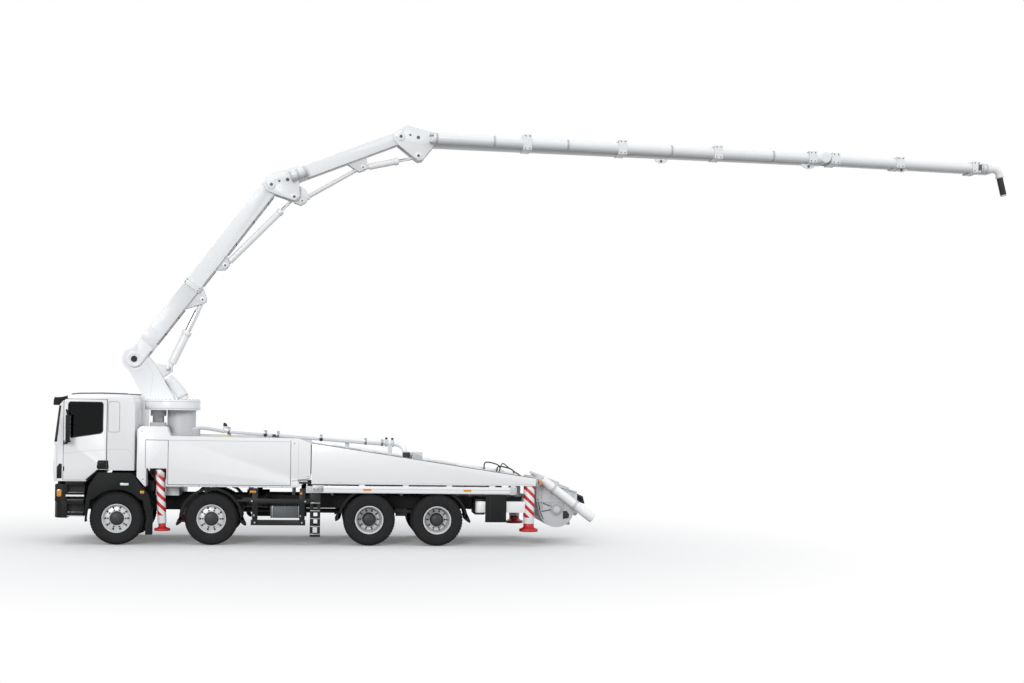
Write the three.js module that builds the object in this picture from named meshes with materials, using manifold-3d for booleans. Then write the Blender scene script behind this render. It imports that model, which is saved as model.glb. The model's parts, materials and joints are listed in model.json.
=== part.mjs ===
// Truck-mounted concrete pump with a four-section boom.
// Millimetres, +Z up. The vehicle faces -X and its left-hand side is -Y.
// Inside this file x = 0 is the first axle, y = 0 the middle of the vehicle and z = 0 the ground;
// the finished group is shifted along X so that its origin is the middle of the whole length.
import * as THREE from 'three';
import { mergeVertices } from 'three/addons/utils/BufferGeometryUtils.js';
import Module from 'manifold-3d';

const wasm = await Module();
wasm.setup();

// ---------------------------------------------------------------- driving dimensions
const SEAT = 0.3;                 // gap between pieces that touch
const RUN = 5;                    // gap between pieces that move past each other
const HALF_WIDTH = 1250;          // half the width over the body
const AXLE_X = [0, 1870, 5060, 6460];
const TYRE_RADIUS = 535;
const TYRE_WIDTH = 300;
const RIM_RADIUS = 288;
const RIM_BORE = 255;             // clear radius inside the rim
const STEER_TRACK = 1040;         // middle of a front tyre from the centre line
const KINGPIN_Y = 800;
const TWIN_TRACK = 1090;          // middle of the outer rear tyre
const TWIN_PITCH = 330;           // middle of one twin tyre to the other
const HUB_RADIUS = 135;
const ARCH_RADIUS = TYRE_RADIUS + 57;       // inside of a mudguard, about the wheel centre
const ARCH_TOP = TYRE_RADIUS + ARCH_RADIUS;
const ARCH_INNER_Y = 1080;        // leaves the steered tyres room to turn inside the arch

const RAIL_Y = 385;               // inner face of a frame rail
const RAIL_WEB = 45;
const RAIL_BOTTOM = 720;
const RAIL_TOP = 990;
const FRAME_FRONT = -900;
const FRAME_REAR = 8330;

const CAB_HALF = 1175;
const CAB_WALL = 60;
const CAB_FRONT = -1180;
const CAB_REAR = 330;
const CAB_FLOOR = 1275;
const CAB_REAR_FLOOR = 1500;
const CAB_ROOF = 3035;
const BELT_Z = 2045;              // lower edge of the windscreen
const NOSE_X = -1262;             // foremost point of the cab
const DOOR_FRONT = -1060;
const DOOR_REAR = -218;
const DOOR_BOTTOM = 1295;
const DOOR_TOP = 2925;
const DOOR_GAP = 6;

const BOX_FRONT = 386;            // side boxes beside the outrigger frame
const BOX_REAR = 3600;
const BOX_BOTTOM = 1185;
const BOX_TOP = 2210;
const BOX_INNER_Y = 930;
const DECK_TOP = 2190;
const PANEL_FRONT = 3860;         // tapered rear side panels
const PANEL_REAR = 8510;
const PANEL_TOP_FRONT = 2110;
const PANEL_TOP_REAR = 1432;
const PANEL_BOTTOM = 1264;
const PANEL_THICK = 50;
const SIDE_RAIL_Z = [1087, 1232]; // rail below the rear side panels

const BEAM_X = [860, 1080];       // left and right front outrigger beams
const BEAM_WIDTH = 190;
const BEAM_HEIGHT = 270;
const CASING_BOTTOM = RAIL_TOP + SEAT;
const CASING_HEIGHT = 400;
const CASING_WALL = 20;
const FRONT_LEG_Y = 1125;
const FRONT_LEG_RADIUS = 84;
const FRONT_LEG_ROD = 60;
const FRONT_LEG_LEAN = 3;         // degrees, foot towards the rear
const FRONT_LEG_TOP = 1525;
const LEG_BOTTOM = 440;           // lower end of the fixed leg tubes
const FOOT_BOTTOM = 290;
const REAR_ARM_PIVOT = { x: 7350, y: 1090 };
const REAR_ARM_Z = [700, 930];
const REAR_LEG_X = 8390;
const REAR_LEG_Y = 1110;
const REAR_LEG_RADIUS = 115;
const REAR_LEG_TOP = PANEL_BOTTOM - 9;

const DECK_TUBE = { from: [2050, -430, 2330], to: [5600, -430, 2095], radius: 52 };

const SLEW_X = 950;               // slewing axis
const SLEW_RADIUS = 563;
const SLEW_Z = [2728, 2945];
const COLUMN_X = 1138;
const COLUMN_RADIUS = 290;

const PIVOT_1 = { x: 168, z: 3780 };
const ARM_ANGLE = [53.6, 22.6, -0.6, -1.1];      // degrees above the horizontal
const ARM_LENGTH = [4647, 2937, 9390, 4300];
const ARM_HALF_HEIGHT = [170, 130];
const ARM_HALF_WIDTH = 150;
const ARM_3_DEPTH = { root: 330, end: 225 };
const ARM_3_HALF_WIDTH = 110;
const ARM_4_HALF_WIDTH = 90;
const FORK_PLATE = 35;
const HEAD_RADIUS = 250;          // boom head of the turret
const HEAD_HALF_WIDTH = 170;
const HEAD_PIN_RADIUS = 88;
const PIN_RADIUS = 62;
const PIN_GAP = 0.5;               // running gap of pins and rods
const CYLINDER_PIN_RADIUS = 38;
const PIPE_RADIUS = 70;           // delivery pipe on the first two arms
const OUTER_PIPE_RADIUS = 104;    // delivery pipe with its wear jacket on the outer arms
const OUTER_PIPE_Y = -262;
const OUTER_PIPE_W = -18;
const TIP = { x: 4115, drop: 190, radius: 78 };
const END_HOSE = { length: 400, radius: 72, lean: 110 };

const LIFT_BASE = { x: 860, z: 3590 };      // lift cylinder pin on the turret
const LIFT_PIN = { u: 1840, w: -343 };      // lift cylinder pin on arm 1
const CYL_2_BASE = { u: 2700, w: -268 };    // arm 2 cylinder, on arm 1
const CYL_2_PIN = { u: 350, w: -407 };      // and on arm 2
const CYL_3_BASE = { u: 1947, w: -318 };    // arm 3 cylinder, on arm 2
const CYL_3_PIN = { u: 384, w: -395 };      // and on arm 3
const EYE_RADIUS = 72;
const EYE_HALF_WIDTH = 50;
const NECK_RADIUS = 48;

const HOPPER = { front: 8580, rear: 9470, halfWidth: 800, wall: 25, top: 1395, slope: 0.32,
  troughX: 9030, troughZ: 745, troughRadius: 375 };

// ---------------------------------------------------------------- small geometry kit
const rad = THREE.MathUtils.degToRad;

// A closed three.js geometry becomes a solid that can be joined and cut.
const solid = (geometry) => {
  geometry.deleteAttribute('normal');
  geometry.deleteAttribute('uv');
  const merged = mergeVertices(geometry, 0.01);
  const points = merged.attributes.position.array;
  const faces = Uint32Array.from(merged.index.array);
  const at = (i) => new THREE.Vector3(points[3 * i], points[3 * i + 1], points[3 * i + 2]);
  let volume = 0;
  for (let i = 0; i < faces.length; i += 3) {
    volume += at(faces[i]).dot(at(faces[i + 1]).cross(at(faces[i + 2])));
  }
  if (volume < 0) {
    for (let i = 0; i < faces.length; i += 3) {
      [faces[i + 1], faces[i + 2]] = [faces[i + 2], faces[i + 1]];
    }
  }
  return new wasm.Manifold(new wasm.Mesh({ numProp: 3, vertProperties: points, triVerts: faces }));
};

const join = (...pieces) => pieces.flat().reduce((whole, piece) => whole.add(piece));
const cut = (whole, ...tools) => tools.flat().reduce((rest, tool) => rest.subtract(tool), whole);

const box = (x0, x1, y0, y1, z0, z1) => {
  const geometry = new THREE.BoxGeometry(Math.abs(x1 - x0), Math.abs(y1 - y0), Math.abs(z1 - z0));
  geometry.translate((x0 + x1) / 2, (y0 + y1) / 2, (z0 + z1) / 2);
  return solid(geometry);
};

const outline = (points) => new THREE.Shape(points.map(([a, b]) => new THREE.Vector2(a, b)));

// A side view outline of (x, z) points, carried across from y0 to y1.
const sidePlate = (points, y0, y1) => {
  const shape = points instanceof THREE.Shape ? points : outline(points);
  const geometry = new THREE.ExtrudeGeometry(shape, {
    depth: Math.abs(y1 - y0), bevelEnabled: false, curveSegments: 8 });
  geometry.rotateX(Math.PI / 2);
  geometry.translate(0, Math.max(y0, y1), 0);
  return solid(geometry);
};

// A plan view outline of (x, y) points, carried up from z0 to z1.
const planPlate = (points, z0, z1) => {
  const geometry = new THREE.ExtrudeGeometry(outline(points), { depth: z1 - z0, bevelEnabled: false });
  geometry.translate(0, 0, z0);
  return solid(geometry);
};

// A round bar from a to b; a second radius makes it a cone.
const bar = (a, b, radius, sides = 10, radiusB = radius) => {
  const from = new THREE.Vector3(...a);
  const along = new THREE.Vector3(...b).sub(from);
  const geometry = new THREE.CylinderGeometry(radiusB, radius, along.length(), sides);
  geometry.translate(0, along.length() / 2, 0);
  geometry.applyQuaternion(new THREE.Quaternion().setFromUnitVectors(
    new THREE.Vector3(0, 1, 0), along.normalize()));
  geometry.translate(from.x, from.y, from.z);
  return solid(geometry);
};

const crossBar = (x, z, y0, y1, radius, sides = 12) => bar([x, y0, z], [x, y1, z], radius, sides);

// A round cutter across the vehicle whose flats lie on the given radius.
const crossBore = (x, z, half, radius, sides = 12) =>
  crossBar(x, z, -half, half, radius / Math.cos(Math.PI / sides), sides);

const bentTube = (points, radius, sides = 14, steps = 18) => {
  const path = new THREE.CatmullRomCurve3(points.map((p) => new THREE.Vector3(...p)));
  const ring = new THREE.Shape();
  ring.absarc(0, 0, radius, 0, 2 * Math.PI, false);
  return solid(new THREE.ExtrudeGeometry(ring, {
    extrudePath: path, steps, curveSegments: sides / 2, bevelEnabled: false }));
};

// A profile of (radius, y) points turned about the Y axis through (x, z).
const turned = (profile, x, z, sides = 16) => {
  const grow = 1 / Math.cos(Math.PI / sides);
  const geometry = new THREE.LatheGeometry(
    profile.map(([r, y]) => new THREE.Vector2(r * grow, y)), sides, Math.PI / sides);
  geometry.translate(x, 0, z);
  return solid(geometry);
};

const finishes = {
  whitePaint: { color: 0xe9e9ea, roughness: 0.35, metalness: 0.0 },
  greyPaint: { color: 0xb9babb, roughness: 0.45, metalness: 0.0 },
  blackPaint: { color: 0x2a2a2b, roughness: 0.6, metalness: 0.0 },
  plastic: { color: 0x303132, roughness: 0.65, metalness: 0.0 },
  redPaint: { color: 0xb4161a, roughness: 0.45, metalness: 0.0 },
  rubber: { color: 0x242425, roughness: 0.85, metalness: 0.0 },
  chrome: { color: 0xd7d8da, roughness: 0.15, metalness: 1.0 },
  castIron: { color: 0x3a3a3a, roughness: 0.7, metalness: 0.4 },
  glass: { color: 0x1c2023, roughness: 0.05, metalness: 0.0, transparent: true, opacity: 0.5 },
  trim: { color: 0x46484b, roughness: 0.8, metalness: 0.0 },
};

const truck = new THREE.Group();

const node = (name, shape, finish, parent = truck) => {
  const mesh = shape.getMesh();
  const geometry = new THREE.BufferGeometry();
  geometry.setAttribute('position', new THREE.BufferAttribute(mesh.vertProperties, 3));
  geometry.setIndex(new THREE.BufferAttribute(mesh.triVerts, 1));
  geometry.computeVertexNormals();
  const part = new THREE.Mesh(geometry, new THREE.MeshStandardMaterial(finishes[finish]));
  part.name = name;
  parent.add(part);
  return part;
};

const SIDES = [{ name: 'left', s: -1, i: 0 }, { name: 'right', s: 1, i: 1 }];

// ---------------------------------------------------------------- chassis frame and engine
const rails = SIDES.map(({ s }) =>
  box(FRAME_FRONT, FRAME_REAR, s * RAIL_Y, s * (RAIL_Y + RAIL_WEB), RAIL_BOTTOM, RAIL_TOP));
const CROSS_X = [-850, 1450, 2900, 4200, 5760, 7100, 8250];
const crossMembers = CROSS_X.map((x) => box(x - 40, x + 40, -RAIL_Y - 10, RAIL_Y + 10,
  RAIL_BOTTOM + 5, RAIL_BOTTOM + 65));
const hingeLugs = SIDES.flatMap(({ s }) => {
  const { x, y } = REAR_ARM_PIVOT;
  const [low, high] = REAR_ARM_Z;
  const plate = (z0, z1) => box(x - 95, x + 95, s * (RAIL_Y + 20), s * (y + 85), z0, z1);
  return [
    plate(low - 45, low - 6), plate(high + 6, high + 45),
    box(x - 95, x + 95, s * (RAIL_Y + 20), s * (y - 210), low - 45, high + 45),
  ];
});
node('chassis_frame', join(rails, crossMembers, hingeLugs), 'blackPaint');
node('engine_block', join(
  box(-700, 560, -340, 340, RAIL_BOTTOM - 60, 1225),
  box(560, 1330, -190, 190, RAIL_BOTTOM - 70, RAIL_BOTTOM + 20)), 'castIron');

// ---------------------------------------------------------------- axles, knuckles and wheels
const SPRING_Y = 430;
const springs = (x, half) => SIDES.map(({ s }) => join(
  box(x - half, x + half, s * (SPRING_Y - 40), s * (SPRING_Y + 40), 640, 680),
  box(x - half / 2, x + half / 2, s * (SPRING_Y - 40), s * (SPRING_Y + 40), 600, 645),
  box(x - half, x - half + 70, s * (SPRING_Y - 40), s * (SPRING_Y - 5), 670, RAIL_BOTTOM - SEAT),
  box(x + half - 70, x + half, s * (SPRING_Y - 40), s * (SPRING_Y - 5), 670, RAIL_BOTTOM - SEAT)));

const KNUCKLE_BOSS = { radius: 62, low: 470, high: 600 };
const frontAxle = (x) => join(
  box(x - 55, x + 55, -560, 560, 410, 520),
  SIDES.map(({ s }) => join(
    sidePlate([[x - 55, 410], [x + 55, 410], [x + 55, 610], [x - 55, 610]], s * 380, s * 480),
    box(x - 50, x + 50, s * 540, s * (KINGPIN_Y - 10), 480, 590),
    box(x - 55, x + 55, s * 480, s * 560, 430, 580),
    bar([x, s * KINGPIN_Y, KNUCKLE_BOSS.low], [x, s * KINGPIN_Y, KNUCKLE_BOSS.high],
      KNUCKLE_BOSS.radius))),
  springs(x, 620));

const DISC_Y = STEER_TRACK + 45;  // back of a front wheel's disc
const knuckle = (x, s) => {
  const y = s * KINGPIN_Y;
  const { radius, low, high } = KNUCKLE_BOSS;
  const lug = (z0, z1) => join(bar([x, y, z0], [x, y, z1], radius),
    box(x - 55, x + 55, y, s * (KINGPIN_Y + 105), z0, z1));
  return join(
    lug(low - 45, low - SEAT), lug(high + SEAT, high + 45),
    box(x - 70, x + 70, s * (KINGPIN_Y + 70), s * (KINGPIN_Y + 105), low - 45, high + 45),
    crossBar(x, TYRE_RADIUS, s * (KINGPIN_Y + 100), s * 1030, 200, 12),
    crossBar(x, TYRE_RADIUS, s * 1025, s * (DISC_Y - SEAT), 70, 8));
};

const steerWheel = (x, s) => {
  const half = TYRE_WIDTH / 2;
  const out = (d) => s * (STEER_TRACK + d);
  const profile = [
    [RIM_BORE, out(-half + 16)], [RIM_RADIUS + 60, out(-half)], [TYRE_RADIUS - 80, out(-half)],
    [TYRE_RADIUS, out(-half + 48)], [TYRE_RADIUS, out(half - 48)], [TYRE_RADIUS - 80, out(half)],
    [RIM_RADIUS + 60, out(half)], [RIM_BORE, out(half - 20)], [HUB_RADIUS + 60, out(96)],
    [HUB_RADIUS, out(96)], [HUB_RADIUS - 8, out(146)], [0, out(146)], [0, out(45)], [RIM_BORE, out(45)],
  ];
  return turned([...profile, profile[0]], x, TYRE_RADIUS);
};

const TWIN_DISC_Y = TWIN_TRACK - 140;
const twinWheel = (x, s) => {
  const half = TYRE_WIDTH / 2 - 5;
  const out = (d) => s * (TWIN_TRACK + d);
  const tyre = (mid) => [
    [RIM_RADIUS + 30, mid - half], [TYRE_RADIUS - 80, mid - half], [TYRE_RADIUS, mid - half + 48],
    [TYRE_RADIUS, mid + half - 48], [TYRE_RADIUS - 80, mid + half], [RIM_RADIUS + 30, mid + half],
  ];
  const profile = [
    [RIM_BORE, -TWIN_PITCH - half + 16], ...tyre(-TWIN_PITCH), ...tyre(0), [RIM_BORE + 8, half - 20],
    [215, -110], [HUB_RADIUS + 10, -110], [HUB_RADIUS, 60], [0, 60], [0, -140], [RIM_BORE, -140],
  ].map(([r, d]) => [r, out(d)]);
  return turned([...profile, profile[0]], x, TYRE_RADIUS);
};

const rearAxle = (x) => join(
  crossBar(x, TYRE_RADIUS, -(TWIN_DISC_Y - SEAT), TWIN_DISC_Y - SEAT, 75, 8),
  SIDES.map(({ s }) => join(
    crossBar(x, TYRE_RADIUS, s * 640, s * (TWIN_DISC_Y - 60), 205, 12),
    box(x - 70, x + 70, s * 380, s * 480, TYRE_RADIUS + 25, 660))),
  crossBar(x, TYRE_RADIUS, -150, 150, 210, 12),
  box(x - 250, x, -110, 110, 560, 680));

AXLE_X.slice(0, 2).forEach((x, row) => {
  node(`front_axle_${row + 1}`, frontAxle(x), 'castIron');
  SIDES.forEach(({ name, s }) => {
    node(`knuckle_${row + 1}_${name}`, knuckle(x, s), 'castIron');
    node(`wheel_${row + 1}_${name}`, steerWheel(x, s), 'rubber');
  });
});
const bogieMiddle = (AXLE_X[2] + AXLE_X[3]) / 2;
node('rear_bogie', join(AXLE_X.slice(2).map(rearAxle),
  SIDES.map(({ s }) => join(
    box(AXLE_X[2] - 120, AXLE_X[3] + 120, s * (SPRING_Y - 40), s * (SPRING_Y + 40), 640, 690),
    box(bogieMiddle - 120, bogieMiddle + 120, s * (SPRING_Y - 45), s * (SPRING_Y + 5),
      560, RAIL_BOTTOM - SEAT))),
  bar([AXLE_X[0] + 1330 + SEAT, 0, 650], [AXLE_X[2] - 200, 0, 630], 48, 12),
  bar([AXLE_X[2], 0, 640], [AXLE_X[3] - 200, 0, 630], 48, 12)), 'castIron');
AXLE_X.slice(2).forEach((x, row) => {
  SIDES.forEach(({ name, s }) => node(`wheel_${row + 3}_${name}`, twinWheel(x, s), 'rubber'));
});

// ---------------------------------------------------------------- cab
const cabOuter = [
  [CAB_FRONT, CAB_FLOOR], [CAB_FRONT, BELT_Z - 60], [-1234, BELT_Z - 10], [-1234, BELT_Z],
  [-1148, 2800], [-1105, 2930], [-985, 3000], [-760, CAB_ROOF - 12], [-300, CAB_ROOF], [190, CAB_ROOF - 8],
  [275, 2985], [318, 2900], [CAB_REAR, 2780], [CAB_REAR, CAB_REAR_FLOOR], [-380, CAB_REAR_FLOOR],
  [-615, CAB_FLOOR],
];
const cabInner = [
  [CAB_FRONT + CAB_WALL, 1340], [CAB_FRONT + CAB_WALL, BELT_Z - 40], [-1160, BELT_Z + 10],
  [-1078, 2790], [-1030, 2890], [-930, 2935], [-700, 2960], [-300, 2975], [150, 2965], [225, 2930],
  [270, 2860], [270, 1560], [-410, 1560], [-600, 1340],
];
const inset = CAB_HALF - CAB_WALL;
const screenCut = sidePlate([[-1300, BELT_Z + 25], [-1100, BELT_Z + 25], [-1010, 2770], [-1300, 2770]],
  -CAB_HALF + 95, CAB_HALF - 95);
const doorway = (s) => box(DOOR_FRONT, DOOR_REAR, s * (inset - 5), s * (CAB_HALF + 50),
  DOOR_BOTTOM, DOOR_TOP);
const mirror = (s) => join(
  box(-985, -900, s * (CAB_HALF + 60), s * (CAB_HALF + 205), 2060, 2600),
  bar([-1015, s * (CAB_HALF - 30), 2030], [-945, s * (CAB_HALF + 120), 2090], 30, 8),
  bar([-1015, s * (CAB_HALF - 30), 2720], [-945, s * (CAB_HALF + 120), 2570], 20, 8));
const cabShell = join(
  cut(sidePlate(cabOuter, -CAB_HALF, CAB_HALF), sidePlate(cabInner, -inset, inset), screenCut,
    SIDES.map(({ s }) => doorway(s))),
  box(-1250, DOOR_FRONT - 10, -CAB_HALF + 20, CAB_HALF - 20, 2795, 2955));
node('cab_shell', cabShell, 'whitePaint');

node('windscreen', sidePlate([[-1214, BELT_Z + 25 + SEAT], [-1214 + 14, BELT_Z + 25 + SEAT],
  [-1122, 2770 - SEAT], [-1136, 2770 - SEAT]], -CAB_HALF + 95 + SEAT, CAB_HALF - 95 - SEAT), 'glass');

node('front_panel', join(
  sidePlate([[-1230, CAB_FLOOR], [CAB_FRONT - SEAT, CAB_FLOOR], [CAB_FRONT - SEAT, BELT_Z - 66],
    [-1234, BELT_Z - 16], [-1240, 1700], [NOSE_X, 1640], [NOSE_X, 1440]], -CAB_HALF, CAB_HALF)),
'whitePaint');

const door = (s) => {
  const front = DOOR_FRONT + DOOR_GAP;
  const rear = DOOR_REAR - DOOR_GAP;
  const low = DOOR_BOTTOM + DOOR_GAP;
  const high = DOOR_TOP - DOOR_GAP;
  const leaf = sidePlate([[front, low], [-630, low], [-395, 1512], [rear, 1512], [rear, high],
    [front + 25, high], [front, high - 40]], s * inset, s * CAB_HALF);
  const glazing = sidePlate([[-975, 2145], [-300, 2255], [-300, 2860], [-965, 2860]],
    s * (inset - 20), s * (CAB_HALF + 20));
  const handle = box(-395, -240, s * (CAB_HALF - 5), s * (CAB_HALF + 12), 1640, 1665);
  const hinges = [1480, 2000].map((z) => box(DOOR_FRONT + SEAT, front + 10,
    s * (CAB_HALF - 12), s * CAB_HALF, z, z + 90));
  return join(cut(leaf, glazing), handle, hinges, mirror(s));
};
SIDES.forEach(({ name, s }) => node(`door_${name}`, door(s), 'whitePaint'));

const seat = (y) => join(
  box(-560, -60, y - 240, y + 240, 1745, 1860),
  sidePlate([[-120, 1850], [40, 1850], [130, 2480], [10, 2480]], y - 230, y + 230),
  sidePlate([[30, 2470], [120, 2470], [150, 2680], [60, 2680]], y - 130, y + 130),
  box(-480, -140, y - 170, y + 170, 1560 + SEAT, 1750));
const interior = join(
  box(-1118, 180, -280, 280, 1560 + SEAT, 1700),
  box(-1118, -640, -280, 280, 1345, 1700),
  sidePlate([[-1117, 1700], [-860, 1780], [-820, 1990], [-900, 2060], [-1117, 2030]], -1090, 1090),
  box(-1117, -900, -280, 280, 1650, 1800),
  box(-520, -100, -700, 700, 1600, 1690),
  [-620, 620].map(seat),
  bar([-960, -620, 1900], [-720, -620, 2150], 35, 8),
  bar([-735, -620, 2128], [-705, -620, 2172], 225, 16));
node('cab_interior', interior, 'trim');

// Lower front: bumper, lamp housings and the boarding steps.
const stepBox = (s) => cut(
  box(-1000, -640, s * 960, s * (HALF_WIDTH - 30), 575, CAB_FLOOR - SEAT),
  [[655, 820], [900, 1010], [1050, 1210]].map(([z0, z1]) =>
    box(-960, -640 + 1, s * 1090, s * (HALF_WIDTH + 50), z0, z1)));
const bumperPlan = [
  [-1150, -1200], [-1060, -HALF_WIDTH + 12], [-960, -HALF_WIDTH + 6], [-960, HALF_WIDTH - 6],
  [-1060, HALF_WIDTH - 12], [-1150, 1200], [-1215, 1080], [-1244, 700], [-1250, 0], [-1244, -700],
  [-1215, -1080],
];
node('bumper', join(
  cut(planPlate(bumperPlan, 545, 880), box(-1130, -900, -900, 900, 500, 900)),
  SIDES.map(({ s }) => box(-1195, -990, s * 820, s * (HALF_WIDTH - 18), 875, 1215)),
  box(-1215, -1130, -830, 830, 870, CAB_FLOOR - SEAT),
  box(-1140, FRAME_FRONT - SEAT, -RAIL_Y - 40, -RAIL_Y + 60, 760, 960),
  box(-1140, FRAME_FRONT - SEAT, RAIL_Y - 60, RAIL_Y + 40, 760, 960),
  SIDES.map(({ s }) => stepBox(s))), 'plastic');

// Mudguards of the first axle, tied together behind the engine.
const cabArch = [
  [-612, 470], [-520, 470], [-520, 900], [0, 1130], [520, 900], [560, 640], [575, 215], [700, 215],
  [705, 640], [640, 980], [300, 1452], [-372, 1455], [-545, 1180], [-600, 860],
];
node('cab_mudguards', join(
  SIDES.map(({ s }) => cut(sidePlate(cabArch, s * ARCH_INNER_Y, s * HALF_WIDTH),
    crossBar(0, TYRE_RADIUS, s * 900, s * 1300, ARCH_RADIUS, 24))),
  box(200, 250, -HALF_WIDTH + 20, HALF_WIDTH - 20, 1380, 1440),
  SIDES.map(({ s }) => box(200, 250, s * 700, s * 800, 1390, CAB_REAR_FLOOR - SEAT))), 'plastic');

// ---------------------------------------------------------------- outrigger frame, deck and column
const casingTop = CASING_BOTTOM + CASING_HEIGHT;
const beamMiddleZ = CASING_BOTTOM + CASING_HEIGHT / 2;
const cavity = BEAM_WIDTH / 2 + RUN;
const casingX = [BEAM_X[0] - cavity - CASING_WALL, BEAM_X[1] + cavity + CASING_WALL];
const CASING_HALF = BOX_INNER_Y - 5;
const beamChannel = (s, i) => box(BEAM_X[i] - cavity, BEAM_X[i] + cavity,
  s * (CASING_HALF + 10), -s * (CASING_HALF - 60),
  beamMiddleZ - BEAM_HEIGHT / 2 - SEAT, beamMiddleZ + BEAM_HEIGHT / 2 + RUN);
const rearDeckZ = (x) => PANEL_TOP_FRONT - 45
  - (x - PANEL_FRONT) * (PANEL_TOP_FRONT - PANEL_TOP_REAR) / (PANEL_REAR - PANEL_FRONT);
const panelGap = 10;
const deckInner = HALF_WIDTH - PANEL_THICK - SEAT;
const frontDeckHalf = BOX_INNER_Y - SEAT;
const railFeet = (x, top) => SIDES.map(({ s }) =>
  box(x - 30, x + 30, s * (RAIL_Y - 20), s * (RAIL_Y + 60), CASING_BOTTOM, top));
const bulkhead = (x, half, top, bottom) => join(box(x - 30, x + 30, -half, half, bottom, top),
  railFeet(x, bottom + 10));
const deckZ = (x) => (x < PANEL_FRONT ? DECK_TOP : rearDeckZ(x));
const tubeZ = (x) => DECK_TUBE.from[2]
  + (x - DECK_TUBE.from[0]) * (DECK_TUBE.to[2] - DECK_TUBE.from[2]) / (DECK_TUBE.to[0] - DECK_TUBE.from[0]);
const superstructure = join(
  cut(box(casingX[0], casingX[1], -CASING_HALF, CASING_HALF, CASING_BOTTOM, casingTop),
    SIDES.map(({ s, i }) => beamChannel(s, i))),
  box(BOX_FRONT + 40, BOX_REAR - 20, -frontDeckHalf, frontDeckHalf, DECK_TOP - 60, DECK_TOP),
  bar([COLUMN_X, 0, casingTop - 10], [COLUMN_X, 0, SLEW_Z[0] - SEAT], COLUMN_RADIUS, 16),
  bar([660, 0, DECK_TOP - 20], [660, 0, 2610], 115, 8),
  bar([660, 0, 2600], [660, 0, SLEW_Z[0] - RUN], 160, 12),
  [1700, 2600, 3500].map((x) => bulkhead(x, frontDeckHalf, DECK_TOP - 30, BOX_BOTTOM + 15)),
  sidePlate([[BOX_REAR - 30, DECK_TOP - 60], [PANEL_FRONT + 20, rearDeckZ(PANEL_FRONT) - 38],
    [PANEL_FRONT + 20, rearDeckZ(PANEL_FRONT) - 3], [BOX_REAR - 30, DECK_TOP]],
  -frontDeckHalf, frontDeckHalf),
  sidePlate([[PANEL_FRONT + panelGap, rearDeckZ(PANEL_FRONT + panelGap) - 35],
    [8480, rearDeckZ(8480) - 35], [8480, rearDeckZ(8480)],
    [PANEL_FRONT + panelGap, rearDeckZ(PANEL_FRONT + panelGap)]], -deckInner + 60, deckInner - 60),
  [4300, 5760, 7200].map((x) => bulkhead(x, deckInner, rearDeckZ(x) - 20, PANEL_BOTTOM)),
  SIDES.map(({ s }) => box(8180, 8300, s * (RAIL_Y - 20), s * (RAIL_Y + 60), CASING_BOTTOM,
    rearDeckZ(8240) - 20)),
  bar(DECK_TUBE.from, DECK_TUBE.to, DECK_TUBE.radius, 8),
  [2150, 4600, 5500].map((x) => box(x - 40, x + 40, DECK_TUBE.from[1] - 60, DECK_TUBE.from[1] + 60,
    deckZ(x) - 30, tubeZ(x))),
  box(5900, 6180, -560, -300, rearDeckZ(6180) - 30, rearDeckZ(5900) + 150));
const pumpTunnel = sidePlate([[4200, CASING_BOTTOM - 10], [8600, CASING_BOTTOM - 10], [8600, 1110],
  [4200, 1640]], -RAIL_Y + 25, RAIL_Y - 25);
node('superstructure', cut(superstructure, pumpTunnel), 'greyPaint');

const legOpening = (s, i) => box(BEAM_X[i] - 285, BEAM_X[i] + 110, s * (BOX_INNER_Y - 50),
  s * (HALF_WIDTH + 50), BOX_BOTTOM - 50, FRONT_LEG_TOP + 25);
const sideBox = (s, i) => cut(sidePlate([
  [BOX_FRONT, 1375], [545, BOX_BOTTOM], [BOX_REAR - 130, BOX_BOTTOM], [BOX_REAR, BOX_BOTTOM + 10],
  [3850, 1365], [3850, 2100], [BOX_REAR, BOX_TOP - 20], [1040, BOX_TOP], [975, 2398],
  [460, 2400], [BOX_FRONT, 2330]], s * BOX_INNER_Y, s * HALF_WIDTH),
  legOpening(s, i),
  box(3600, 3830, s * (HALF_WIDTH - 40), s * (HALF_WIDTH + 10), 1300, 1350));
SIDES.forEach(({ name, s, i }) => node(`side_box_${name}`, sideBox(s, i), 'whitePaint'));

const rearPanel = (s) => join(
  sidePlate([[PANEL_FRONT + panelGap, PANEL_BOTTOM], [PANEL_REAR, PANEL_BOTTOM],
    [PANEL_REAR, PANEL_TOP_REAR], [PANEL_FRONT + panelGap, PANEL_TOP_FRONT]],
  s * (HALF_WIDTH - PANEL_THICK), s * HALF_WIDTH),
  box(4130, 7970, s * (HALF_WIDTH - 48), s * (HALF_WIDTH - 3), ...SIDE_RAIL_Z),
  box(7970 - 1, 8100, s * (HALF_WIDTH - 60), s * (HALF_WIDTH - 10), SIDE_RAIL_Z[0] - 12, SIDE_RAIL_Z[1] - 7),
  box(3890, 4131, s * (HALF_WIDTH - 150), s * (HALF_WIDTH - 5), SIDE_RAIL_Z[0] - 2, SIDE_RAIL_Z[1] + 8),
  [3960, 4900, 5800, 6700, 7600, 8030].map((x) => box(x - 60, x + 60, s * (HALF_WIDTH - 46),
    s * (HALF_WIDTH - 20), SIDE_RAIL_Z[1] - 17, PANEL_BOTTOM + 20)));
SIDES.forEach(({ name, s }) => node(`rear_panel_${name}`, rearPanel(s), 'whitePaint'));

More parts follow.
